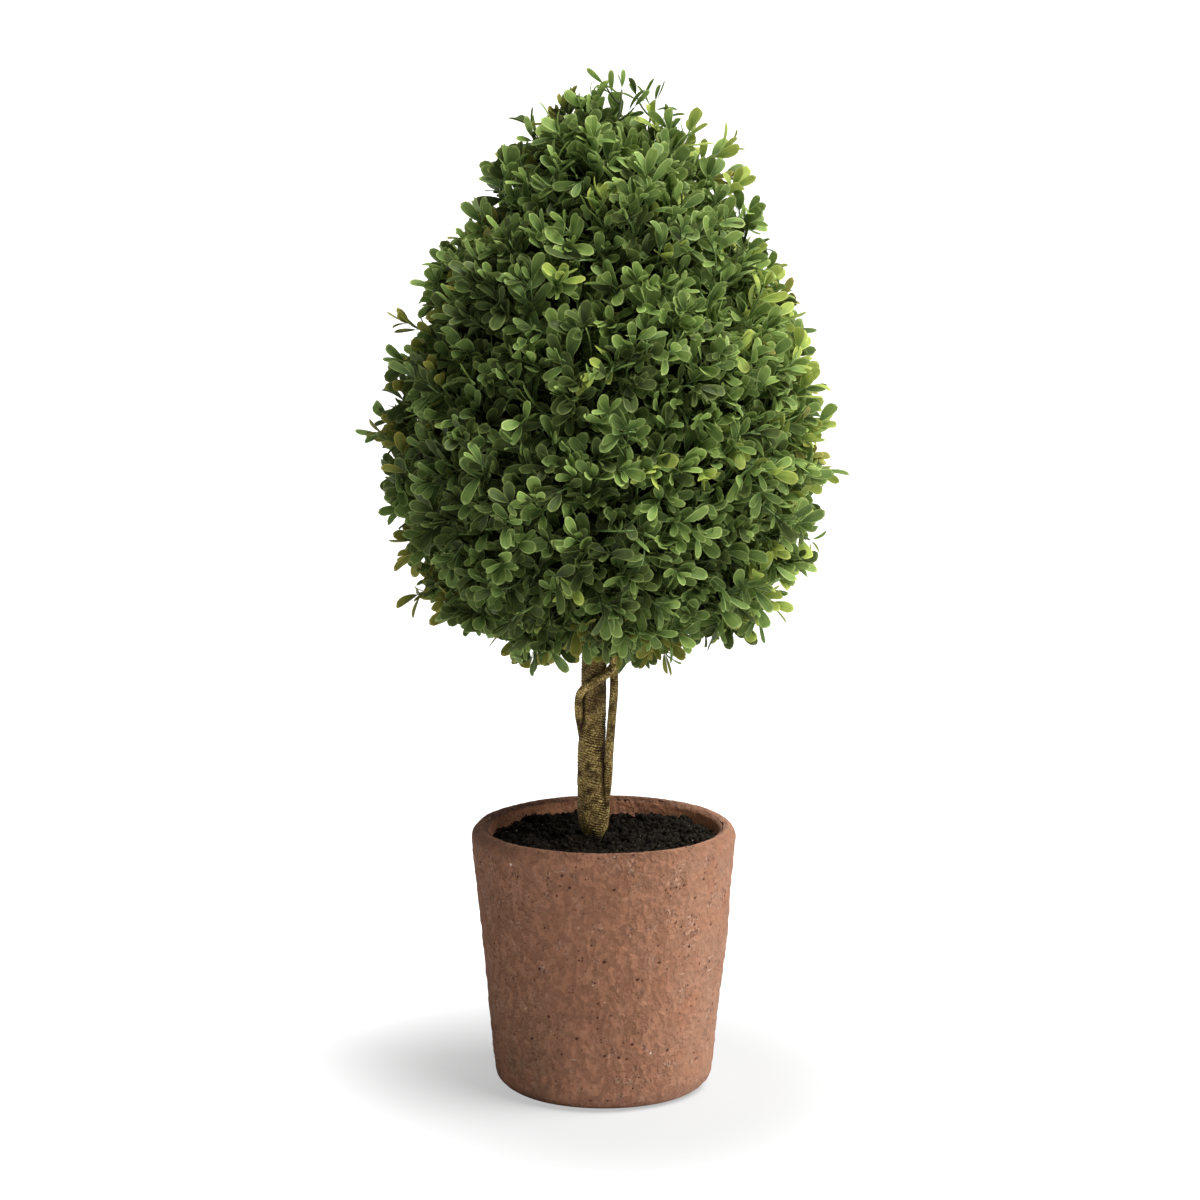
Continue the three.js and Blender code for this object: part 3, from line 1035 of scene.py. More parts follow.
        slopes = np.gradient(rows, axis=0)
        outward = revolved(unit(np.stack([slopes[:, 1], -slopes[:, 0]], -1)))
        places = revolved(rows)
        noise = SmoothNoise(self.seed)
        rough = self.waves.at(places, noise) + self.dents.at(places, noise) + self.grit.at(places, noise)
        height = rows[:, 1:]
        calm = 1.0 - 0.6 * eased(height, self.height - 0.014, self.height - 0.004)
        free = eased(height, 0.0005, 0.006)
        push = free * (calm * rough - self.pit_depth * pits)
        back = np.clip(ring[:, 1], 0.0, 1.0) * eased(height, 0.6 * self.height, self.height)
        return places + self.back_rise * back[..., None] * UP + push[..., None] * outward

    def marks(self, rows: Array, ring: Array) -> dict[str, Array]:
        """The marks that the finish reads: the inner wall, which is painted lighter as if lit, and the
        painted shade along the lip, which is weak at the back.

        Args:
            rows: the profile's (radius, height) rows.
            ring: each column's (cosine, sine).

        Returns:
            Numbers from 0 to 1 by name, each rows x columns.
        """
        radius, height = rows.T
        number = np.arange(len(rows))
        inside = number >= len(rows) - self.inner_rows
        below_rim = eased(self.height - height, 0.0020, 0.0038)
        inner = np.broadcast_to((inside * below_rim)[:, None], (len(rows), self.columns))
        turned_in = eased(radius - (self.top_radius - self.wall), 0.0046, 0.0022)
        edge = turned_in * (1.0 - below_rim) * (number > len(rows) // 2)
        shoulder = eased(height, self.height - 0.009, self.height - 0.002) * (1.0 - inside)
        shoulder = shoulder * eased(radius, self.top_radius - 0.0055, self.top_radius - 0.0025)
        # painted shade on the lip: its inner edge, and the shoulder more faintly
        lip_shade = np.maximum(edge, self.shoulder_shade * shoulder)
        front = 0.25 + 0.75 * eased(ring[:, 1], 0.2, -0.5)
        return {"inner": inner, "lip": lip_shade[:, None] * front}

    def build(self, soil_level: float, effects: Effects) -> None:
        """Makes the piece, a closed wall with its wear and its marks, for a bed of soil at a level."""
        rows = self.profile(soil_level)
        ring = circle(self.columns)
        pits = self.pit_field(rows, np.random.default_rng(self.seed))
        surface = closed_rings(self.worn(rows, ring, pits), pit=pits, **self.marks(rows, ring))
        surface.piece("clay_pot", ClayFinish().material(effects), "pot", "pot")


@dataclass
class Soil:
    """The bed of soil with its loose crumbs and pale grains.

    A heap is given by its middle (x, y), its spreads over x and y, and its height.
    """

    level: float
    bottom: float
    radius: float
    trunk_foot: Pair
    trunk_radius: float = 0.0052
    sunk: float = 0.0016            # how far the bed has settled
    heaps: tuple[tuple[float, ...], ...] = (
        (-0.028, 0.042, 0.022, 0.020, 0.0026), (0.028, 0.046, 0.026, 0.015, 0.0016),
    )
    mound: Pair = (0.011, 0.0016)        # spread and height of the rise round the trunk
    rolling: Ripple = Ripple(0.0016, 0.020, 1)
    clods: Ripple = Ripple(0.0024, 0.0056)
    crumbs: int = 9400
    dark_share: float = 0.72
    grains: int = 70
    columns: int = 280
    rows: int = 64
    seed: int = 23

    def height_at(self, places: Array) -> Array:
        """The bed's height at each (x, y): rolling, clods, low heaps at the back, a mound at the trunk."""
        flat = np.concatenate([places, np.zeros(places.shape[:-1] + (1,))], -1)
        noise = SmoothNoise(self.seed)
        height = self.level - self.sunk + self.rolling.at(flat, noise) + self.clods.at(flat, noise)
        spread, tall = self.mound
        for x, y, spread_x, spread_y, rise in (*self.heaps, (*self.trunk_foot, spread, spread, tall)):
            height = height + rise * bell(places[..., 0], x, spread_x) * bell(places[..., 1], y, spread_y)
        return height

    def bed(self) -> Surface:
        """The closed bed: flat underneath, upright round the side and rough on top."""
        ring = circle(self.columns)
        top_radii = self.radius * np.linspace(1.0, 0.0, self.rows + 1)[:-1]
        top = top_radii[:, None, None] * ring
        top_height = self.height_at(top)
        under_radii = self.radius * np.array([0.02, 0.5, 0.86, 0.9])
        under = under_radii[:, None, None] * ring
        under_height = np.full(under.shape[:2], self.bottom)
        flat = np.concatenate([under, top])
        height = np.concatenate([under_height, top_height])
        return closed_rings(np.concatenate([flat, height[..., None]], -1))

    def scattered(self, count: int, smallest: float, largest: float, rng: Random) -> Surface:
        """Crumbs lying on the bed: dented twenty-sided lumps, turned and stretched at random.

        Args:
            count: how many.
            smallest: the least radius.
            largest: the greatest radius. Small ones are the most common, by the cube of a random share.
            rng: the source of random numbers.

        Returns:
            All the crumbs as one surface.
        """
        corners, faces = twenty_sided()
        reach = self.radius * np.sqrt(rng.random(count))
        turn = rng.uniform(0.0, TURN, count)
        flat = np.stack([reach * np.cos(turn), reach * np.sin(turn)], -1)
        away = flat - np.array(self.trunk_foot)
        distance = np.linalg.norm(away, axis=-1, keepdims=True)
        clear = self.trunk_radius + 0.0008
        flat = np.where(distance < clear, np.array(self.trunk_foot) + unit(away) * clear, flat)
        size = smallest + (largest - smallest) * rng.random(count) ** 3
        reached = np.maximum(np.linalg.norm(flat, axis=-1), 1e-9)
        flat = flat * np.minimum(1.0, (self.radius - size) / reached)[:, None]
        height = self.height_at(flat) + 0.35 * size
        centres = np.concatenate([flat, height[:, None]], -1)
        dents = 1.0 + rng.uniform(-0.45, 0.45, (count, 12, 1))
        stretch = rng.uniform(0.28, 1.80, (count, 1, 3))
        axis = unit(rng.normal(size=(count, 1, 3)))
        angles = np.broadcast_to(rng.uniform(0.0, math.pi, (count, 1)), (count, 12))
        lumps = turned(corners * dents * stretch, np.broadcast_to(axis, (count, 12, 3)), angles)
        points = centres[:, None] + size[:, None, None] * lumps
        numbers = (faces[None] + 12 * np.arange(count)[:, None, None]).reshape(-1, 3)
        longitude = np.arctan2(corners[:, 1], corners[:, 0]) / TURN + 0.5
        shared = copied_map(longitude, corners[:, 2] / 2.0 + 0.5, count)
        return Surface(points.reshape(-1, 3), [numbers], {}, shared)

    def build(self, effects: Effects) -> None:
        """Makes the bed, the dark and brown crumbs and the pale grains."""
        rng = np.random.default_rng(self.seed)
        self.bed().piece("soil_bed", SoilFinish().material(effects), "soil", "soil")
        dark = CrumbFinish("crumb_dark", paint(17, 14, 10), paint(40, 35, 28))
        brown = CrumbFinish("crumb_brown", paint(26, 22, 15), paint(78, 70, 57))
        pale = CrumbFinish("grain_pale", paint(150, 146, 138), paint(205, 202, 196), 0.7)
        most = int(self.crumbs * self.dark_share)
        for name, count, finish, low, high in (
            ("soil_crumbs_dark", most, dark, 0.00032, 0.0018),
            ("soil_crumbs_brown", self.crumbs - most, brown, 0.0003, 0.0010),
            ("soil_grains_pale", self.grains, pale, 0.00026, 0.0007),
        ):
            self.scattered(count, low, high, rng).piece(name, finish.material(), "soil", "soil")


def twenty_sided() -> tuple[Array, Array]:
    """The regular solid of twenty triangles.

    Its corners are the cyclic turns of (0, +-1, +-golden ratio), and three corners share a face where each
    pair of them is 2 apart.

    Returns:
        Corners at distance one, and the corner numbers of each face, facing outwards.
    """
    ratio = (1.0 + math.sqrt(5.0)) / 2.0
    signs = itertools.product((-1.0, 1.0), (-ratio, ratio))
    corners = np.array([np.roll((0.0, one, far), shift) for one, far in signs for shift in range(3)])
    faces = []
    for trio in itertools.combinations(range(12), 3):
        a, b, c = corners[list(trio)]
        if max(np.linalg.norm(a - b), np.linalg.norm(b - c), np.linalg.norm(c - a)) < 2.1:
            outward = np.dot(np.cross(b - a, c - a), a + b + c) > 0
            faces.append(trio if outward else trio[::-1])
    return unit(corners), np.array(faces)


# ------------------------ trunk and stems


@dataclass(frozen=True)
class BarkSkin:
    """The crinkled wrap that covers the trunk and the side stems."""

    ring_pitch: float
    ring_depth: float
    lump_depth: float
    tilt: float                 # how steeply the rings slant from side to side
    seed: int

    def relief(self, rings: Array, along: Array, strength: Array) -> Array:
        """How far the wrap stands out at each point.

        Rings are a sine along the limb whose phase wanders with slow noise, over lumps of layered noise and
        sharp creases where a second noise crosses zero.

        Args:
            rings: the smooth limb as rows x columns x 3.
            along: distance along the limb for each row.
            strength: how strong the rings are on each row, from 0 to 1.

        Returns:
            Heights in metres, rows x columns.
        """
        noise = SmoothNoise(self.seed)
        creases = SmoothNoise(self.seed + 1)
        wander = 1.6 * noise.at(rings, 0.006) + 0.9 * noise.at(rings, 0.0025)
        level = along[:, None] + self.tilt * rings[..., 0]
        wave = np.sin(TURN * level / self.ring_pitch + 2.0 * wander)
        patchy = eased(creases.at(rings, 0.009), -0.6, 0.5)
        ringed = self.ring_depth * wave * (0.25 + 0.75 * patchy) * strength[:, None]
        lumps = self.lump_depth * noise.fractal(rings, 0.0048)
        crease = -0.6 * self.lump_depth * (1.0 - eased(np.abs(creases.fractal(rings, 0.0034)), 0.0, 0.22))
        return ringed + lumps + crease

    def wrapped(self, path: Array, radii: Array, columns: int, strength: Array) -> tuple[Array, Array]:
        """Carries a round section along a path and lays the wrap over it.

        Args:
            path: the limb's middle line, rows x 3.
            radii: its radius on each row.
            columns: points round it.
            strength: how strong the rings are on each row.

        Returns:
            The limb's rings of points, and a relief from 0 in the hollows to 1 on the crests.
        """
        ring = spokes(path[None], DEPTH_AXIS[None], columns)[0]
        smooth = path[:, None] + radii[:, None, None] * ring
        along = np.concatenate([[0.0], np.cumsum(np.linalg.norm(np.diff(path, axis=0), axis=1))])
        height = self.relief(smooth, along, strength)
        reach = 1.6 * (self.ring_depth + self.lump_depth)
        relief = np.clip(0.5 + 0.5 * height / reach, 0.0, 1.0)
        return smooth + height[..., None] * ring, relief


@dataclass
class Trunk:
    """The main pole: swollen a little above the soil, bowed to the left and tapering inside the foliage.

    Its bumps and its upper part are placed by the height above the soil.
    """

    foot: float
    tip: float
    crown_bottom: float
    aside: float = -0.0058
    radius: float = 0.0073
    sunk: float = 0.0018            # how far the foot reaches below the soil
    tip_radius: float = 0.003
    bow: Bump = Bump(0.0014, 0.048, 0.022)
    swelling: Bump = Bump(0.0019, 0.017, 0.034)
    tuck: Bump = Bump(0.0042, -0.002, 0.0070)   # narrows the foot where it enters the soil
    ringed: tuple[Bump, Bump] = (Bump(0.60, 0.012, 0.017), Bump(0.60, 0.062, 0.013))    # with strong rings
    upper_part: float = 0.1         # where the lean and the taper start
    lean: float = 0.03              # how far the upper part goes to the right for its height
    skin: BarkSkin = BarkSkin(ring_pitch=0.0015, ring_depth=0.00034, lump_depth=0.00022, tilt=0.28, seed=31)
    columns: int = 96
    row_step: float = 0.00028

    def centre(self, height: Array) -> Array:
        """The middle line at world heights: a bow to the left under the foliage, then a lean to the right."""
        above = height - self.foot
        x = self.aside - self.bow.at(above) + self.lean * np.maximum(0.0, above - self.upper_part)
        return np.stack([x, np.zeros_like(x), height], -1)

    def radius_at(self, height: Array) -> Array:
        """The radius at world heights: a tapering pole that swells near the foot and tucks in at the soil."""
        above = height - self.foot
        share = np.clip((above - self.upper_part) / (self.tip - self.foot - self.upper_part), 0.0, 1.0)
        taper = self.radius + (self.tip_radius - self.radius) * share
        return taper + self.swelling.at(above) - self.tuck.at(above)

    def gap_to(self, places: Array) -> Array:
        """How far places lie from the pole's surface, level with it."""
        away = places[..., :2] - self.centre(places[..., 2])[..., :2]
        return np.linalg.norm(away, axis=-1) - self.radius_at(places[..., 2])

    def painted_shade_mask(self, rings: Array, stems: list["SideStem"]) -> Array:
        """Where the pole is painted dark as shade: beside the side stems, and up in the foliage's shade.

        The painted shade starts above the right stem's foot, and is weak on the left below the left stem's
        end.

        Args:
            rings: the pole's points.
            stems: the side stems.

        Returns:
            Numbers from 0 to 1, one for each point.
        """
        height = rings[..., 2]
        beside = np.max([stem.nearness(rings, 0.0034) for stem in stems], axis=0)
        beside = beside * eased(height, 0.167, 0.176)
        weak = (rings[..., 0] < self.aside) * (1.0 - eased(height, 0.211, 0.217))
        shade = 0.5 * eased(height, 0.212, 0.240)
        return np.maximum(beside * (1.0 - 0.8 * weak), shade)

    def build(self, stems: list["SideStem"], bark: Material) -> None:
        """Makes the pole, with close rows where it shows and wide ones inside the foliage.

        Args:
            stems: the side stems, beside which the pole gets painted shade.
            bark: the wrap's finish.
        """
        shown = np.arange(self.foot - self.sunk, self.crown_bottom, self.row_step)
        hidden = np.linspace(self.crown_bottom, self.tip, 70)
        height = np.concatenate([shown, hidden])
        strength = 0.40 + np.minimum(0.60, sum(bump.at(height - self.foot) for bump in self.ringed))
        rings, relief = self.skin.wrapped(self.centre(height), self.radius_at(height), self.columns, strength)
        # the pole's painted shade beside the stems and under the foliage
        surface = closed_rings(rings, relief=relief, groove=self.painted_shade_mask(rings, stems))
        surface.piece("trunk_bark", bark, "bark", "trunk")


@dataclass
class SideStem:
    """A thin stem that twines beside the trunk, through a few waypoints."""

    name: str
    waypoints: tuple[Triple, ...]
    radius: float
    tip_radius: float
    seed: int
    columns: int = 30

    def path(self, spacing: float) -> Array:
        """The stem's middle line, in steps of about the spacing."""
        places = np.array(self.waypoints)
        length = np.linalg.norm(np.diff(places, axis=0), axis=1).sum()
        return smooth_path(places, int(length / spacing))

    def nearness(self, places: Array, reach: float) -> Array:
        """How near places come to the stem: 1 at its surface, easing to 0 at the reach."""
        gaps = np.linalg.norm(places[..., None, :] - self.path(0.0016), axis=-1).min(axis=-1)
        return 1.0 - eased(gaps - self.radius, 0.0, reach)

    def build(self, trunk: Trunk, bark: Material) -> None:
        """Makes the stem in its bark wrap, with painted shade where it nears the trunk."""
        path = self.path(0.00042)
        radii = np.linspace(self.radius, self.tip_radius, len(path))
        skin = BarkSkin(ring_pitch=0.0013, ring_depth=0.00013, lump_depth=0.00008, tilt=0.0, seed=self.seed)
        rings, relief = skin.wrapped(path, radii, self.columns, np.full(len(path), 0.5))
        # painted shade on the stem where it nears the trunk
        groove = 1.0 - eased(trunk.gap_to(rings), 0.0, 0.0022)
        surface = closed_rings(rings, relief=relief, groove=groove)
        surface.piece(f"{self.name}_bark", bark, "bark", self.name)


RIGHT_STEM_ROUTE = (
    (0.0005, -0.004, 0.168), (0.0023, -0.0052, 0.184), (0.003, -0.005, 0.199), (0.0044, -0.0038, 0.218),
    (0.0058, -0.002, 0.236), (0.0056, -0.0025, 0.250), (0.005, -0.003, 0.266),
)
LEFT_STEM_ROUTE = (
    (0.0052, -0.0035, 0.250), (0.0005, -0.0098, 0.246), (-0.0065, -0.0101, 0.2415),
    (-0.0123, -0.0082, 0.237), (-0.0145, -0.0056, 0.2315), (-0.0145, -0.0048, 0.222),
    (-0.0132, -0.0022, 0.2135), (-0.0119, -0.0004, 0.205),
)


# ------------------------ branching and leaves


@dataclass
class Limbs:
    """Many limbs of one order, each a curve from its foot by way of a bend to its tip.

    A place at share t is (1 - t)^2 foot + 2 t (1 - t) bend + t^2 tip.
    """

    feet: Array
    bends: Array
    tips: Array

    def chosen(self, mask: Array) -> "Limbs":
        """The limbs that a mask picks."""
        return Limbs(self.feet[mask], self.bends[mask], self.tips[mask])

    def at(self, share: Array) -> Array:
        """Places at shares of the way, limbs x shares."""
        t = share[..., None]
        feet, bends, tips = (a[:, None] for a in (self.feet, self.bends, self.tips))
        return (1 - t) ** 2 * feet + 2 * t * (1 - t) * bends + t**2 * tips

    def heading(self, share: Array) -> Array:
        """Unit headings at shares of the way, limbs x shares."""
        t = share[..., None]
        feet, bends, tips = (a[:, None] for a in (self.feet, self.bends, self.tips))
        return unit((1 - t) * (bends - feet) + t * (tips - bends))

    @property
    def lengths(self) -> Array:
        """Rough length of each limb, foot to bend to tip."""
        first = np.linalg.norm(self.bends - self.feet, axis=-1)
        return first + np.linalg.norm(self.tips - self.bends, axis=-1)

    def wood(self, steps: int, sides: int, foot_radius: float, tip_radius: float) -> Surface:
        """The limbs as round tapering tubes."""
        share = np.linspace(0.0, 1.0, steps)
        paths = self.at(np.broadcast_to(share, (len(self.feet), steps)))
        radii = np.broadcast_to(foot_radius + (tip_radius - foot_radius) * share, paths.shape[:2])
        return tubes(paths, radii, sides)

    def grow(
        self, tips: Array, outward: Array, span: float, shares: tuple[float, ...], curve: float
    ) -> "Limbs":
        """Grows the next order of limbs from these.

        Each new tip is joined to the place on an older limb that costs least. The cost is how far that
        place's distance is from the usual span, plus a charge where the limb would turn back on itself:
        |d - span| + span max(0, 0.7 - cos a), with a the angle between the limb and the outward way.

        Args:
            tips: where the new limbs end.
            outward: the way that each of them points at its end.
            span: the usual length of a new limb.
            shares: the shares of an older limb's way where a new one may start.
            curve: how much of its length a new limb keeps to its outward way.

        Returns:
            The new limbs, one for each tip.
        """
        share = np.broadcast_to(np.array(shares), (len(self.feet), len(shares)))
        places = self.at(share).reshape(-1, 3)
        gaps = tips[:, None] - places[None]
        distance = np.linalg.norm(gaps, axis=-1)
        facing = np.sum(gaps * outward[:, None], axis=-1) / np.maximum(distance, 1e-9)
        cost = np.abs(distance - span) + span * np.maximum(0.0, 0.7 - facing)
        feet = places[np.argmin(cost, axis=1)]
        reach = np.linalg.norm(tips - feet, axis=-1, keepdims=True)
        return Limbs(feet, tips - outward * reach * curve, tips)


@dataclass(frozen=True)
class LimbOrder:
    """One order of limbs in the crown: how many, how they spread and grow, and how thick they are."""

    count: int
    start: float                    # the first one's angle round the crown, in radians
    shake: float                    # how much the even directions are shaken
    depth: Pair                     # least and most depth of the tips under the shell
    radii: Pair                     # at the foot and at the tip
    steps: int
    sides: int
    span: float = 0.0               # the usual length
    shares: tuple[float, ...] = ()  # where along an older limb they may start
    curve: float = 0.45             # how much of its length each one keeps to its outward way

    def grown(self, older: Limbs, tips: Array, way: Array) -> Limbs:
        """Grows this order's limbs from an older order's."""
        return older.grow(tips, way, self.span, self.shares, self.curve)

    def wood(self, limbs: Limbs) -> Surface:
        """This order's limbs as tubes."""
        return limbs.wood(self.steps, self.sides, *self.radii)


@dataclass(frozen=True)
class BladeShape:
    """The outline of one leaf, in shares of its length."""

    stations: tuple[float, ...] = (0.0, 0.17, 0.28, 0.44, 0.62, 0.80, 0.93, 1.0)
    stalk: float = 0.15
    stalk_width: float = 0.13
    shoulder: float = 0.64
    tip: float = 2.8

    def half_widths(self) -> Array:
        """Half widths at the stations, scaled to a greatest value of one.

        Over the blade they follow q^shoulder sqrt(1 - q^tip), with q from 0 at the stalk to 1 at the tip, and
        they are never less than the stalk's.
        """
        place = np.clip((np.linspace(0.0, 1.0, 200) - self.stalk) / (1.0 - self.stalk), 0.0, 1.0)
        widest = np.max(place**self.shoulder * np.sqrt(1.0 - place**self.tip))
        q = np.clip((np.array(self.stations) - self.stalk) / (1.0 - self.stalk), 0.0, 1.0)
        return np.maximum(q**self.shoulder * np.sqrt(1.0 - q**self.tip) / widest, self.stalk_width)


@dataclass
class Leaves:
    """A set of leaves, each with its own place, size and bend. Every field has one row for each leaf."""

    feet: Array
    headings: Array
    uppers: Array
    lengths: Array
    widths: Array
    bends: Array
    folds: Array
    tints: Array

    def chosen(self, mask: Array) -> "Leaves":
        """The leaves that a mask picks."""
        return Leaves(*(getattr(self, name)[mask] for name in self.__dataclass_fields__))

    @staticmethod
    def together(sets: list["Leaves"]) -> "Leaves":
        """Several sets of leaves as one."""
        names = Leaves.__dataclass_fields__
        return Leaves(*(np.concatenate([getattr(one, name) for one in sets]) for name in names))

    def surface(self, shape: BladeShape) -> Surface:
        """Every leaf as a small open grid, three points wide.

        The rib is an arc: forward by L sin(b s) / b and down by L (1 - cos(b s)) / b, with b the leaf's bend
        and s the share of its length. Both sides rise from the rib by the fold's angle.

        Args:
            shape: the outline that all of them have.

        Returns:
            The leaves as one surface, with u across and v along each leaf.
        """
        along = np.array(shape.stations)
        bend = np.where(np.abs(self.bends) < 1e-3, 1e-3, self.bends)[:, None]
        length = self.lengths[:, None]
        forward = (length * np.sin(bend * along) / bend)[..., None]
        down = (length * (1.0 - np.cos(bend * along)) / bend)[..., None]
        heading, upper = self.headings[:, None], self.uppers[:, None]
        rib = self.feet[:, None] + forward * heading - down * upper
        raised = np.cos(bend * along)[..., None] * upper + np.sin(bend * along)[..., None] * heading
        half = (self.widths[:, None] * shape.half_widths())[..., None]
        aside = np.cross(heading, upper) * half * np.cos(self.folds)[:, None, None]
        lift = raised * half * np.sin(self.folds)[:, None, None]
        points = np.stack([rib - aside + lift, rib, rib + aside + lift], axis=2)
        count, steps = len(self.feet), len(along)
        numbers = grid_faces(steps, 3, False)[None] + (np.arange(count) * steps * 3)[:, None, None]
        across, length_share = np.meshgrid([0.0, 0.5, 1.0], along)
        shared = copied_map(across, length_share, count)
        return Surface(points.reshape(-1, 3), [numbers.reshape(-1, 4)], {}, shared)


@dataclass(frozen=True)
class SprayHabit:
    """How leaves sit on a twig: crossed pairs along it and a tuft at its end."""

    pairs: int = 3
    gap: float = 0.0080
    tuft: int = 4
    leaf_length: float = 0.0164
    leaf_width: float = 0.205       # half the width, as a share of the length
    spread: float = 50.0            # angle between twig and leaf at the lowest pair, in degrees
    tuft_spread: float = 32.0
    droop: float = 14.0             # usual bend of a blade, in degrees
    fold: float = 14.0
    angle_scatter: float = 17.0     # how much the angles differ, in degrees
    droop_scatter: float = 20.0
    fold_scatter: float = 6.0
    turn_scatter: float = 0.42      # how much the turns round the twig differ, in radians
    roll: float = 0.60              # how much the upper faces turn away from the usual way
    sizes: Pair = (0.70, 1.26)
    missing: float = 0.07           # share of the leaves that are left out
    lowered: float = 0.18           # share of the upper leaves that take the deeper tint

    def leaves(self, twigs: Limbs, tints: Array, lean: Array, rng: Random) -> Leaves:
        """Sets leaves on every twig.

        Pair k stands k gaps back from the tip and is turned a quarter against the next one. A leaf leaves
        the twig at the spread angle, with its upper face toward the twig's tip and a little toward the lean.

        Args:
            twigs: the twigs that carry the leaves.
            tints: the tint number of each twig's spray.
            lean: for each twig, the way that upper faces turn.
            rng: the source of random numbers.

        Returns:
            All the leaves. The third pair, as painted shade, and a few others at random have the next deeper
            tint.
        """
        count = len(twigs.tips)
        order = np.arange(1, self.pairs + 1)
        pair_order = np.repeat(order, 2)
        slots = np.concatenate([pair_order, np.zeros(self.tuft, dtype=int)])
        jitter = rng.uniform(0.85, 1.15, (count, len(slots)))
        share = 1.0 - slots * self.gap * jitter / twigs.lengths[:, None]
        tuft_side = TURN * np.arange(self.tuft) / self.tuft
        side = np.concatenate([np.tile([0.0, math.pi], self.pairs), tuft_side])
        quarter = slots * math.pi / 2.0
        azimuth = rng.uniform(0.0, TURN, (count, 1)) + side + quarter
        azimuth = azimuth + rng.normal(0.0, self.turn_scatter, azimuth.shape)
        lift = np.where(slots == 0, self.tuft_spread, self.spread - 4.0 * (self.pairs - slots))
        angle = np.radians(lift + rng.normal(0.0, self.angle_scatter, azimuth.shape))
        heading = twigs.heading(np.clip(share, 0.0, 1.0))
        square = unit(np.cross(heading, np.array([0.31, 0.87, 0.38])))
        spoke = turned(square, heading, azimuth)
        direction = unit(heading * np.cos(angle)[..., None] + spoke * np.sin(angle)[..., None])
        wanted = heading + 0.25 * lean[:, None] + rng.normal(0.0, self.roll, heading.shape)
        upper = upright_to(direction, wanted)
        size = np.where(slots == 0, 0.88, 1.04) * rng.uniform(*self.sizes, azimuth.shape)
        length = self.leaf_length * size
        width = length * self.leaf_width * rng.uniform(0.84, 1.16, azimuth.shape)
        bend = np.radians(rng.normal(self.droop, self.droop_scatter, azimuth.shape))
        fold = rng.normal(self.fold, self.fold_scatter, azimuth.shape)
        fold = np.radians(np.clip(fold, 2.0, 34.0))
        spray_tint = np.broadcast_to(tints[:, None], azimuth.shape)
        lowered = (slots >= 3) | (rng.random(azimuth.shape) < self.lowered)
        tint = np.where(lowered, NEXT_DEEPER[spray_tint], spray_tint)
        kept = (share > 0.08) & (rng.random(azimuth.shape) > self.missing)
        places = twigs.at(np.clip(share, 0.0, 1.0))
        everything = Leaves(places, direction, upper, length, width, bend, fold, tint)
        return everything.chosen(kept)


@dataclass
class CrownShell:
    """The outer surface of the foliage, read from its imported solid."""

    node: str
    middle_height: float

    def __post_init__(self) -> None:
        """Puts the solid's triangles into a search tree."""
        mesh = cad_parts[self.node].data
        faces = [tuple(polygon.vertices) for polygon in mesh.polygons]
        self.tree = BVHTree.FromPolygons([vertex.co for vertex in mesh.vertices], faces)

    def meet(self, directions: Array) -> tuple[Array, Array]:
        """Where rays from far outside toward the middle first meet the shell.

        Args:
            directions: unit vectors from the middle to where the rays start.

        Returns:
            The places and the shell's outward normals there.
        """
        middle = Vector((0.0, 0.0, self.middle_height))
        places, normals = np.zeros_like(directions), np.zeros_like(directions)
        for index, direction in enumerate(directions):
            way = Vector(direction)
            place, normal, _, _ = self.tree.ray_cast(middle + way, -way)
            places[index] = place
            normals[index] = normal if normal.dot(way) > 0.0 else -normal
        return places, normals


def uneven_clipping(places: Array) -> Array:
    """How much deeper than the shell the clipping goes.

    Each entry of UNEVEN_CLIPPING adds its bump over height, on its own side of the middle. TOP_DIP adds a
    bump over the width near the top, so that the slender sprigs stand clear of the mass.

    Args:
        places: the tips of the sprays.

    Returns:
        One depth for each place, less than zero where the crown swells out.
    """
    depth = np.zeros(len(places))
    for side, cut in UNEVEN_CLIPPING:
        depth += cut.at(places[:, 2]) * eased(side * places[:, 0], 0.02, 0.06)
    return depth + TOP_DIP.at(places[:, 0]) * eased(places[:, 2], 0.545, 0.565)


LEFT, RIGHT = -1.0, 1.0
TOP_DIP = Bump(0.018, 0.016, 0.013)

# Each uneven place: its side, and how deep it is cut round which height.
UNEVEN_CLIPPING = (
    (RIGHT, Bump(0.020, 0.242, 0.008)), (RIGHT, Bump(0.028, 0.262, 0.012)), (LEFT, Bump(0.003, 0.262, 0.010)),
    (LEFT, Bump(0.018, 0.280, 0.007)), (RIGHT, Bump(0.008, 0.300, 0.009)), (RIGHT, Bump(0.012, 0.329, 0.009)),
    (LEFT, Bump(0.009, 0.436, 0.007)), (LEFT, Bump(-0.003, 0.472, 0.007)), (RIGHT, Bump(0.005, 0.480, 0.008)),
    (RIGHT, Bump(0.009, 0.518, 0.008)), (LEFT, Bump(0.029, 0.520, 0.010)), (RIGHT, Bump(0.020, 0.543, 0.009)),
    (LEFT, Bump(-0.024, 0.557, 0.011)), (RIGHT, Bump(0.006, 0.575, 0.007)),
)


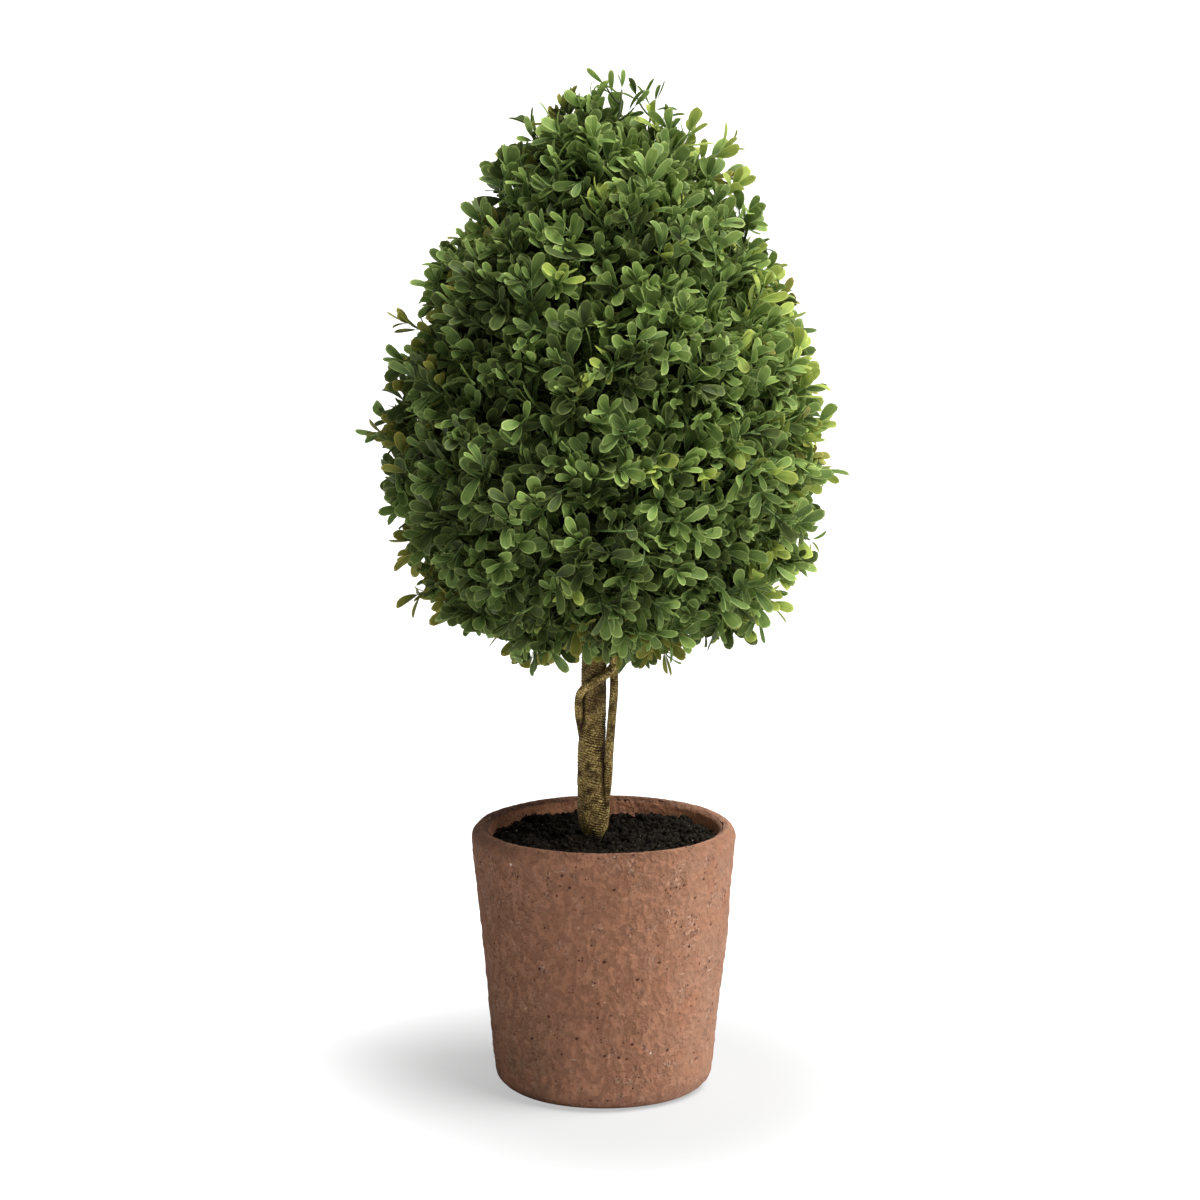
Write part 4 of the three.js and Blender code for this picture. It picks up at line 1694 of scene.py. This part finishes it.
@dataclass
class Foliage:
    """The clipped crown: boughs from the trunk, branchlets, leafy twigs and the leaves themselves."""

    trunk: Trunk
    shell: CrownShell
    boughs: LimbOrder = LimbOrder(
        count=60, start=0.4, shake=0.04, depth=(0.0, 0.0), radii=(0.0019, 0.0010), steps=12, sides=8
    )
    branchlets: LimbOrder = LimbOrder(
        count=250, start=1.1, shake=0.04, depth=(0.034, 0.046), radii=(0.0010, 0.0006), steps=9, sides=6,
        span=0.042, shares=(0.35, 0.5, 0.65, 0.8, 1.0), curve=0.35
    )
    twigs: LimbOrder = LimbOrder(
        count=1830, start=2.0, shake=0.035, depth=(0.004, 0.028), radii=(0.0006, 0.0004), steps=7, sides=4,
        span=0.034, shares=(0.3, 0.5, 0.7, 0.85, 1.0)
    )
    inner_twigs: LimbOrder = LimbOrder(
        count=1000, start=0.2, shake=0.05, depth=(0.028, 0.056), radii=(0.0006, 0.0004), steps=5, sides=3,
        span=0.026, shares=(0.2, 0.4, 0.6, 0.8)
    )
    bough_drop: float = 0.4         # how far below its tip a bough leaves the trunk, for its way out
    bough_reach: float = 0.56       # the share of the way to the shell that a bough goes
    bough_arch: float = 0.07
    stretch: float = 1.3
    hollows: Ripple = Ripple(0.0075, 0.034, 2)
    notch: Bump = Bump(0.016, 0.0, 0.016)       # cut out of the lower edge in front of the trunk
    rough_edge: Pair = (-0.002, 0.009)
    waywardness: float = 0.68       # how much the leafy twigs point away from the outward way
    seed: int = 47

    def limb_tips(self, order: LimbOrder, depth: Array, rng: Random) -> tuple[Array, Array]:
        """Even places under the shell, each with the way that its limb points.

        Args:
            order: the order of the limbs.
            depth: how far under the shell each one ends.
            rng: the source of random numbers.

        Returns:
            The places and the outward ways.
        """
        even = even_directions(order.count, self.stretch, order.start)
        places, normals = self.shell.meet(unit(even + rng.normal(0.0, order.shake, even.shape)))
        radial = unit(places - np.array([0.0, 0.0, self.shell.middle_height]))
        outward = unit(normals + radial)
        return places - outward * depth[:, None], outward

    def first_boughs(self, rng: Random) -> Limbs:
        """The boughs, which leave the trunk below their tips and arch outward."""
        tips, _ = self.limb_tips(self.boughs, np.zeros(self.boughs.count), rng)
        across = np.linalg.norm(tips[:, :2], axis=1)
        lowest = self.trunk.crown_bottom + 0.012
        height = np.clip(tips[:, 2] - self.bough_drop * across, lowest, self.trunk.tip - 0.01)
        feet = self.trunk.centre(height)
        ends = feet + self.bough_reach * (tips - feet)
        arch = self.bough_arch * np.linalg.norm(ends - feet, axis=1)[:, None] * UP
        bends = feet + 0.5 * (ends - feet) + arch
        return Limbs(feet, bends, ends)

    def spray_tints(self, places: Array, rng: Random) -> Array:
        """Deals a tint to each spray.

        The chances shift with the place, as painted light and shade: darker ones to the left and low down,
        lighter and yellower ones to the right and high up, where the light falls, olive ones at both brinks,
        partly as painted light through the edge leaves, and along the lower edge.

        Args:
            places: the tips of the sprays.
            rng: the source of random numbers.

        Returns:
            Tint numbers.
        """
        right = np.clip(places[:, 0] / 0.12, -1.0, 1.0)
        high = np.clip((places[:, 2] - 0.38) / 0.18, -1.0, 1.0)
        facing = places[:, 0] / np.linalg.norm(places[:, :2], axis=1)
        left_brink = eased(facing, -0.80, -0.98)
        right_brink = eased(facing, 0.80, 0.98)
        lowest = eased(places[:, 2], 0.298, 0.272)
        right_side = np.clip(right, 0.0, 1.0)
        right_top = np.clip(high - 0.2, 0.0, 1.0) * np.clip(right + 0.2, 0.0, 1.0)
        # painted shade on the left and low down, painted light on the right and high up
        chances = np.stack([
            0.26 - 0.40 * right - 0.06 * high,
            0.40 + 0.05 * right,
            0.20 + 0.17 * right + 0.13 * high + 0.16 * np.clip(high, 0.0, 1.0),
            0.005 + 0.24 * right_side**2 + 0.20 * right_top + 0.20 * right_brink,
            0.36 * left_brink + 0.08 * right_brink + 0.50 * lowest,
        ], axis=1)
        steps = np.cumsum(np.clip(chances, 0.0, None), axis=1)
        draw = rng.random(len(places))[:, None] * steps[:, -1:]
        return np.sum(draw > steps, axis=1)

    def clipped_tips(self, rng: Random) -> tuple[Array, Array, Array]:
        """Where the leafy twigs end: near the shell, clipped unevenly and notched in front of the trunk.

        Args:
            rng: the source of random numbers.

        Returns:
            The tips, the outward ways there, and how low each one is, from 0 to 1.
        """
        least, most = self.twigs.depth
        depth = least + (most - least) * rng.random(self.twigs.count) ** 1.4
        tips, outward = self.limb_tips(self.twigs, depth, rng)
        hollow = self.hollows.at(tips, SmoothNoise(self.seed)) - uneven_clipping(tips)
        tips = tips + outward * hollow[:, None]
        low = np.clip((0.30 - tips[:, 2:]) / 0.05, 0.0, 1.0)
        aside = (tips - self.trunk.centre(tips[:, 2]))[:, :1]
        notch = self.notch.at(aside) * (1.0 - eased(tips[:, 1:2], -0.005, 0.020)) * low
        return tips + (notch + low * rng.uniform(*self.rough_edge, low.shape)) * UP, outward, low

    def build(self, materials: dict[str, Material]) -> Limbs:
        """Grows the crown and makes its pieces.

        Args:
            materials: the finishes by name.

        Returns:
            The branchlets, which the sprigs grow from.
        """
        rng = np.random.default_rng(self.seed)
        boughs = self.first_boughs(rng)
        depth = rng.uniform(*self.branchlets.depth, self.branchlets.count)
        tips, outward = self.limb_tips(self.branchlets, depth, rng)
        branchlets = self.branchlets.grown(boughs, tips, outward)

        tips, outward, low = self.clipped_tips(rng)
        rise = (0.45 - 1.20 * low) * UP
        way = unit(outward + rise + self.waywardness * rng.normal(size=tips.shape))
        twigs = self.twigs.grown(branchlets, tips, way)
        lean = unit(outward + 0.5 * UP)
        leaves = SprayHabit().leaves(twigs, self.spray_tints(tips, rng), lean, rng)

        depth = rng.uniform(*self.inner_twigs.depth, self.inner_twigs.count)
        tips, outward = self.limb_tips(self.inner_twigs, depth, rng)
        way = unit(outward + 0.5 * rng.normal(size=tips.shape))
        inner_twigs = self.inner_twigs.grown(branchlets, tips, way)
        deep = np.full(self.inner_twigs.count, Tint.DEEP.value)
        inner = SprayHabit(leaf_length=0.017).leaves(inner_twigs, deep, outward, rng)

        node = self.shell.node
        self.boughs.wood(boughs).piece("boughs", materials["bough"], "bark", node)
        self.branchlets.wood(branchlets).piece("branchlets", materials["branchlet"], "bark", node)
        green = Surface.joined([self.twigs.wood(twigs), self.inner_twigs.wood(inner_twigs)])
        green.piece("twigs", materials["twig"], "foliage", node)
        on_left = leaves.feet[:, 0] < 0.0
        for tint, (side, there) in itertools.product(Tint, (("left", on_left), ("right", ~on_left))):
            chosen = leaves.chosen((leaves.tints == tint.value) & there)
            chosen.surface(BladeShape()).piece(
                f"leaves_{tint.name.lower()}_{side}", materials[tint.finish.name], "foliage", node
            )
        shape = BladeShape(stations=(0.0, 0.2, 0.5, 0.82, 1.0))
        inner.surface(shape).piece("leaves_inner", materials["shade"], "foliage", node)
        return branchlets


@dataclass
class Sprigs:
    """The unclipped sprigs that stand out of the crown, one for each packed sprig."""

    nodes: list[str]
    middle: Array
    leaf_room: float = 0.012        # how far the tip leaves reach past a stalk, broad and slender
    slender_room: float = 0.0125
    seed: int = 59

    def ends(self) -> tuple[Array, Array]:
        """Each sprig's foot and tip: its nearest and farthest points from the crown's middle."""
        feet, tips = [], []
        for name in self.nodes:
            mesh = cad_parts[name].data
            flat = np.empty(3 * len(mesh.vertices), np.float32)
            mesh.vertices.foreach_get("co", flat)
            points = flat.reshape(-1, 3).astype(float)
            distance = np.linalg.norm(points - self.middle, axis=1)
            tips.append(points[np.argmax(distance)])
            feet.append(points[distance < distance.min() + 0.004].mean(axis=0))
        return np.array(feet), np.array(tips)

    def build(self, branchlets: Limbs, materials: dict[str, Material]) -> None:
        """Grows each sprig out of the crown and makes the pieces.

        The sprigs at the top are slender: they fork, and carry small narrow leaves. The others have broad
        leaves, olive ones on the left and yellower ones on the right, where they are partly painted light.

        Args:
            branchlets: the limbs that the sprigs grow from.
            materials: the finishes by name.
        """
        rng = np.random.default_rng(self.seed)
        feet, tips = self.ends()
        way = unit(tips - feet)
        slender = np.array(["top" in name for name in self.nodes])
        tips = tips - way * np.where(slender, self.slender_room, self.leaf_room)[:, None]
        stalks = branchlets.grow(tips, way, 0.06, (0.4, 0.6, 0.8, 1.0), 0.5)
        lean = unit(way + 0.4 * UP)
        olive = np.array(["left" in name for name in self.nodes])
        tints = np.where(olive, Tint.OLIVE.value, Tint.FRESH_AND_LIT.value)
        tints = np.where(slender, Tint.LIGHT.value, tints)

        broad, thin = stalks.chosen(~slender), stalks.chosen(slender)
        leaves = [SprayHabit(gap=0.0075).leaves(broad, tints[~slender], lean[~slender], rng)]
        forks = self.forks(thin, rng)
        fork_lean = unit(forks.heading(np.ones((len(forks.tips), 1)))[:, 0])
        fine = SprayHabit(
            pairs=1, gap=0.006, tuft=2, leaf_width=0.14, leaf_length=0.0135,
            spread=40.0, tuft_spread=20.0, fold=24.0,
        )
        fork_tints = rng.choice([Tint.LIGHT.value, Tint.MIDDLE.value], len(forks.tips))
        leaves.append(fine.leaves(forks, fork_tints, fork_lean, rng))
        leaves.append(fine.leaves(thin, tints[slender], lean[slender], rng))

        wood = Surface.joined([stalks.wood(10, 5, 0.0009, 0.0006), forks.wood(5, 4, 0.0006, 0.0005)])
        wood.piece("sprig_stalks", materials["sprig_stalk"], "sprig", *self.nodes)
        every = Leaves.together(leaves)
        for tint in Tint:
            chosen = every.chosen(every.tints == tint.value)
            if len(chosen.feet):
                chosen.surface(BladeShape()).piece(
                    f"sprig_leaves_{tint.name.lower()}", materials[tint.finish.name], "sprig", *self.nodes
                )

    @staticmethod
    def forks(thin: Limbs, rng: Random) -> Limbs:
        """Side twigs of the slender top sprigs, three on each, which leave it at about sixty degrees."""
        share = np.tile([0.54, 0.70, 0.86], (len(thin.feet), 1))
        places = thin.at(share).reshape(-1, 3)
        heading = thin.heading(share).reshape(-1, 3)
        square = unit(np.cross(heading, DEPTH_AXIS))
        turn = np.tile([0.0, math.pi, 0.5], len(thin.feet)) + rng.normal(0.0, 0.4, len(places))
        spoke = turned(square, heading, turn)
        angle = np.radians(rng.uniform(46.0, 74.0, len(places)))[:, None]
        way = heading * np.cos(angle) + spoke * np.sin(angle)
        length = rng.uniform(0.010, 0.015, len(places))[:, None]
        return Limbs(places, places + 0.5 * length * way, places + length * unit(way + 0.35 * heading))


# ------------------------ studio


@dataclass(frozen=True)
class Lamp:
    """A soft sun. Its azimuth runs round from the camera's side toward the right, in degrees."""

    name: str
    azimuth: float
    elevation: float
    strength: float
    softness: float

    def hang(self) -> None:
        """Adds the light to the scene, facing the middle."""
        sun = bpy.data.lights.new(self.name, "SUN")
        sun.energy = self.strength
        sun.angle = math.radians(self.softness)
        lamp = bpy.data.objects.new(self.name, sun)
        azimuth, elevation = math.radians(self.azimuth), math.radians(self.elevation)
        level = math.cos(elevation)
        way = Vector((math.sin(azimuth) * level, -math.cos(azimuth) * level, math.sin(elevation)))
        lamp.rotation_euler = way.to_track_quat("Z", "Y").to_euler()
        lamp.location = way * 3.0
        stand(lamp)


@dataclass
class Studio:
    """A plain pale floor, soft light from the right, and the camera."""

    camera_distance: float = 2.5
    camera_height: float = 0.734
    aim_height: float = 0.2884
    aside: float = -0.0023
    lens: float = 132.2
    key: Lamp = Lamp("key_light", 64.0, 57.0, 8.3, 42.0)
    fill: Lamp = Lamp("back_fill", 170.0, 40.0, 0.9, 60.0)
    sky_strength: float = 0.149
    floor_half: float = 60.0
    floor_lift: float = 0.485       # with the seen tone, keeps the floor white and its shadow pale
    floor_seen: float = 0.17
    floor_glow: float = 0.60        # further lift, from none close to the pot to all of it farther out
    glow_start: float = 0.075
    glow_full: float = 0.25
    glow_middle: Triple = (0.012, 0.0, 0.0)
    glow_squeeze: Triple = (1.0, 0.7, 1.0)

    def floor(self) -> None:
        """Lays the floor, a wide matt sheet at height zero.

        The camera sees it brighter than its light makes it, more so outside an oval round the pot.
        """
        half = self.floor_half
        corners = np.array([[-half, -half, 0.0], [half, -half, 0.0], [half, half, 0.0], [-half, half, 0.0]])
        mesh = Surface(corners, [np.array([[0, 1, 2, 3]])]).mesh("studio_floor")
        material, graph, shader = new_material("pale_floor")
        place = graph.put("ShaderNodeTexCoord").outputs["Object"]
        noise = graph.put("ShaderNodeTexNoise", {"Vector": place, "Scale": 3.0}).outputs[0]
        colour = graph.mix(noise, grey(0.70), grey(0.72))
        seen = graph.put("ShaderNodeLightPath").outputs["Is Camera Ray"]
        colour = graph.mix(seen, colour, grey(self.floor_seen))
        graph.tree.links.new(colour, shader.inputs["Base Color"])
        oval = graph.stretched(place, self.glow_squeeze)
        ends = {0: oval, 1: self.glow_middle}
        away = graph.put("ShaderNodeVectorMath", ends, operation="DISTANCE").outputs["Value"]
        farther = graph.times(graph.ease(away, self.glow_start, self.glow_full), self.floor_glow)
        lift = graph.times(seen, graph.plus(farther, self.floor_lift))
        graph.tree.links.new(lift, shader.inputs["Emission Strength"])
        shader.inputs["Emission Color"].default_value = grey(1.0)
        shader.inputs["Roughness"].default_value = 1.0
        shader.inputs["Specular IOR Level"].default_value = 0.0
        mesh.materials.append(material)
        floor = bpy.data.objects.new("studio_floor", mesh)
        stand(floor)

    def light(self) -> None:
        """Hangs both lights and sets the dim surround, which shows as plain white itself."""
        self.key.hang()
        self.fill.hang()
        world = bpy.data.worlds.new("surround")
        world.use_nodes = True
        world.node_tree.nodes.clear()
        graph = NodeGraph(world.node_tree)
        lit = graph.put("ShaderNodeBackground", {"Color": grey(1.0), "Strength": self.sky_strength})
        seen = graph.put("ShaderNodeBackground", {"Color": grey(1.0), "Strength": 1.0})
        direct = graph.put("ShaderNodeLightPath").outputs["Is Camera Ray"]
        blend = graph.put("ShaderNodeMixShader", {0: direct, 1: lit.outputs[0], 2: seen.outputs[0]})
        graph.put("ShaderNodeOutputWorld", {"Surface": blend.outputs[0]})
        bpy.context.scene.world = world

    def camera(self) -> None:
        """Sets the camera in front, a little above and looking down."""
        data = bpy.data.cameras.new("camera")
        data.lens = self.lens
        data.clip_end = 200.0
        camera = bpy.data.objects.new("camera", data)
        camera.location = (self.aside, -self.camera_distance, self.camera_height)
        way = Vector((0.0, self.camera_distance, self.aim_height - self.camera_height))
        camera.rotation_euler = way.to_track_quat("-Z", "Y").to_euler()
        stand(camera)
        bpy.context.scene.camera = camera
        bpy.context.scene.view_settings.view_transform = "Standard"

    def build(self) -> None:
        """Lays the floor, hangs the light and sets the camera."""
        self.floor()
        self.light()
        self.camera()


def main() -> None:
    """Builds the studio and every part of the topiary, in order."""
    logging.basicConfig(level=logging.INFO, format="%(name)s %(message)s")
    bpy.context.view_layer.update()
    Studio().build()
    effects = Effects()

    _, pot_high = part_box("pot")
    soil_low, soil_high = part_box("soil")
    trunk_low, trunk_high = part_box("trunk")
    crown_low, crown_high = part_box("foliage_cone")
    pot = Pot(height=pot_high.z, top_radius=pot_high.x)
    pot.build(soil_high.z, effects)
    trunk = Trunk(foot=trunk_low.z, tip=trunk_high.z, crown_bottom=crown_low.z + 0.012)
    soil_radius = pot.inner_radius(soil_high.z) - 0.0006
    Soil(soil_high.z, soil_low.z, soil_radius, (trunk.aside, 0.0)).build(effects)

    bark = BarkFinish().material(effects)
    materials = {tint.finish.name: tint.finish.material(effects) for tint in Tint}
    materials["shade"] = SHADE_FINISH.material(effects)
    materials |= {name: finish.material() for name, finish in TWIG_FINISHES.items()}
    stems = [
        SideStem("right_stem", RIGHT_STEM_ROUTE, 0.0025, 0.0025, 37),
        SideStem("left_stem", LEFT_STEM_ROUTE, 0.0025, 0.0023, 41),
    ]
    trunk.build(stems, bark)
    for stem in stems:
        stem.build(trunk, bark)

    middle_height = crown_low.z + 0.42 * (crown_high.z - crown_low.z)
    foliage = Foliage(trunk, CrownShell("foliage_cone", middle_height))
    branchlets = foliage.build(materials)
    sprig_nodes = sorted(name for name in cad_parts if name.endswith("sprig") or "_sprig_" in name)
    Sprigs(sprig_nodes, np.array([0.0, 0.0, middle_height])).build(branchlets, materials)


if __name__ == "__main__":
    main()
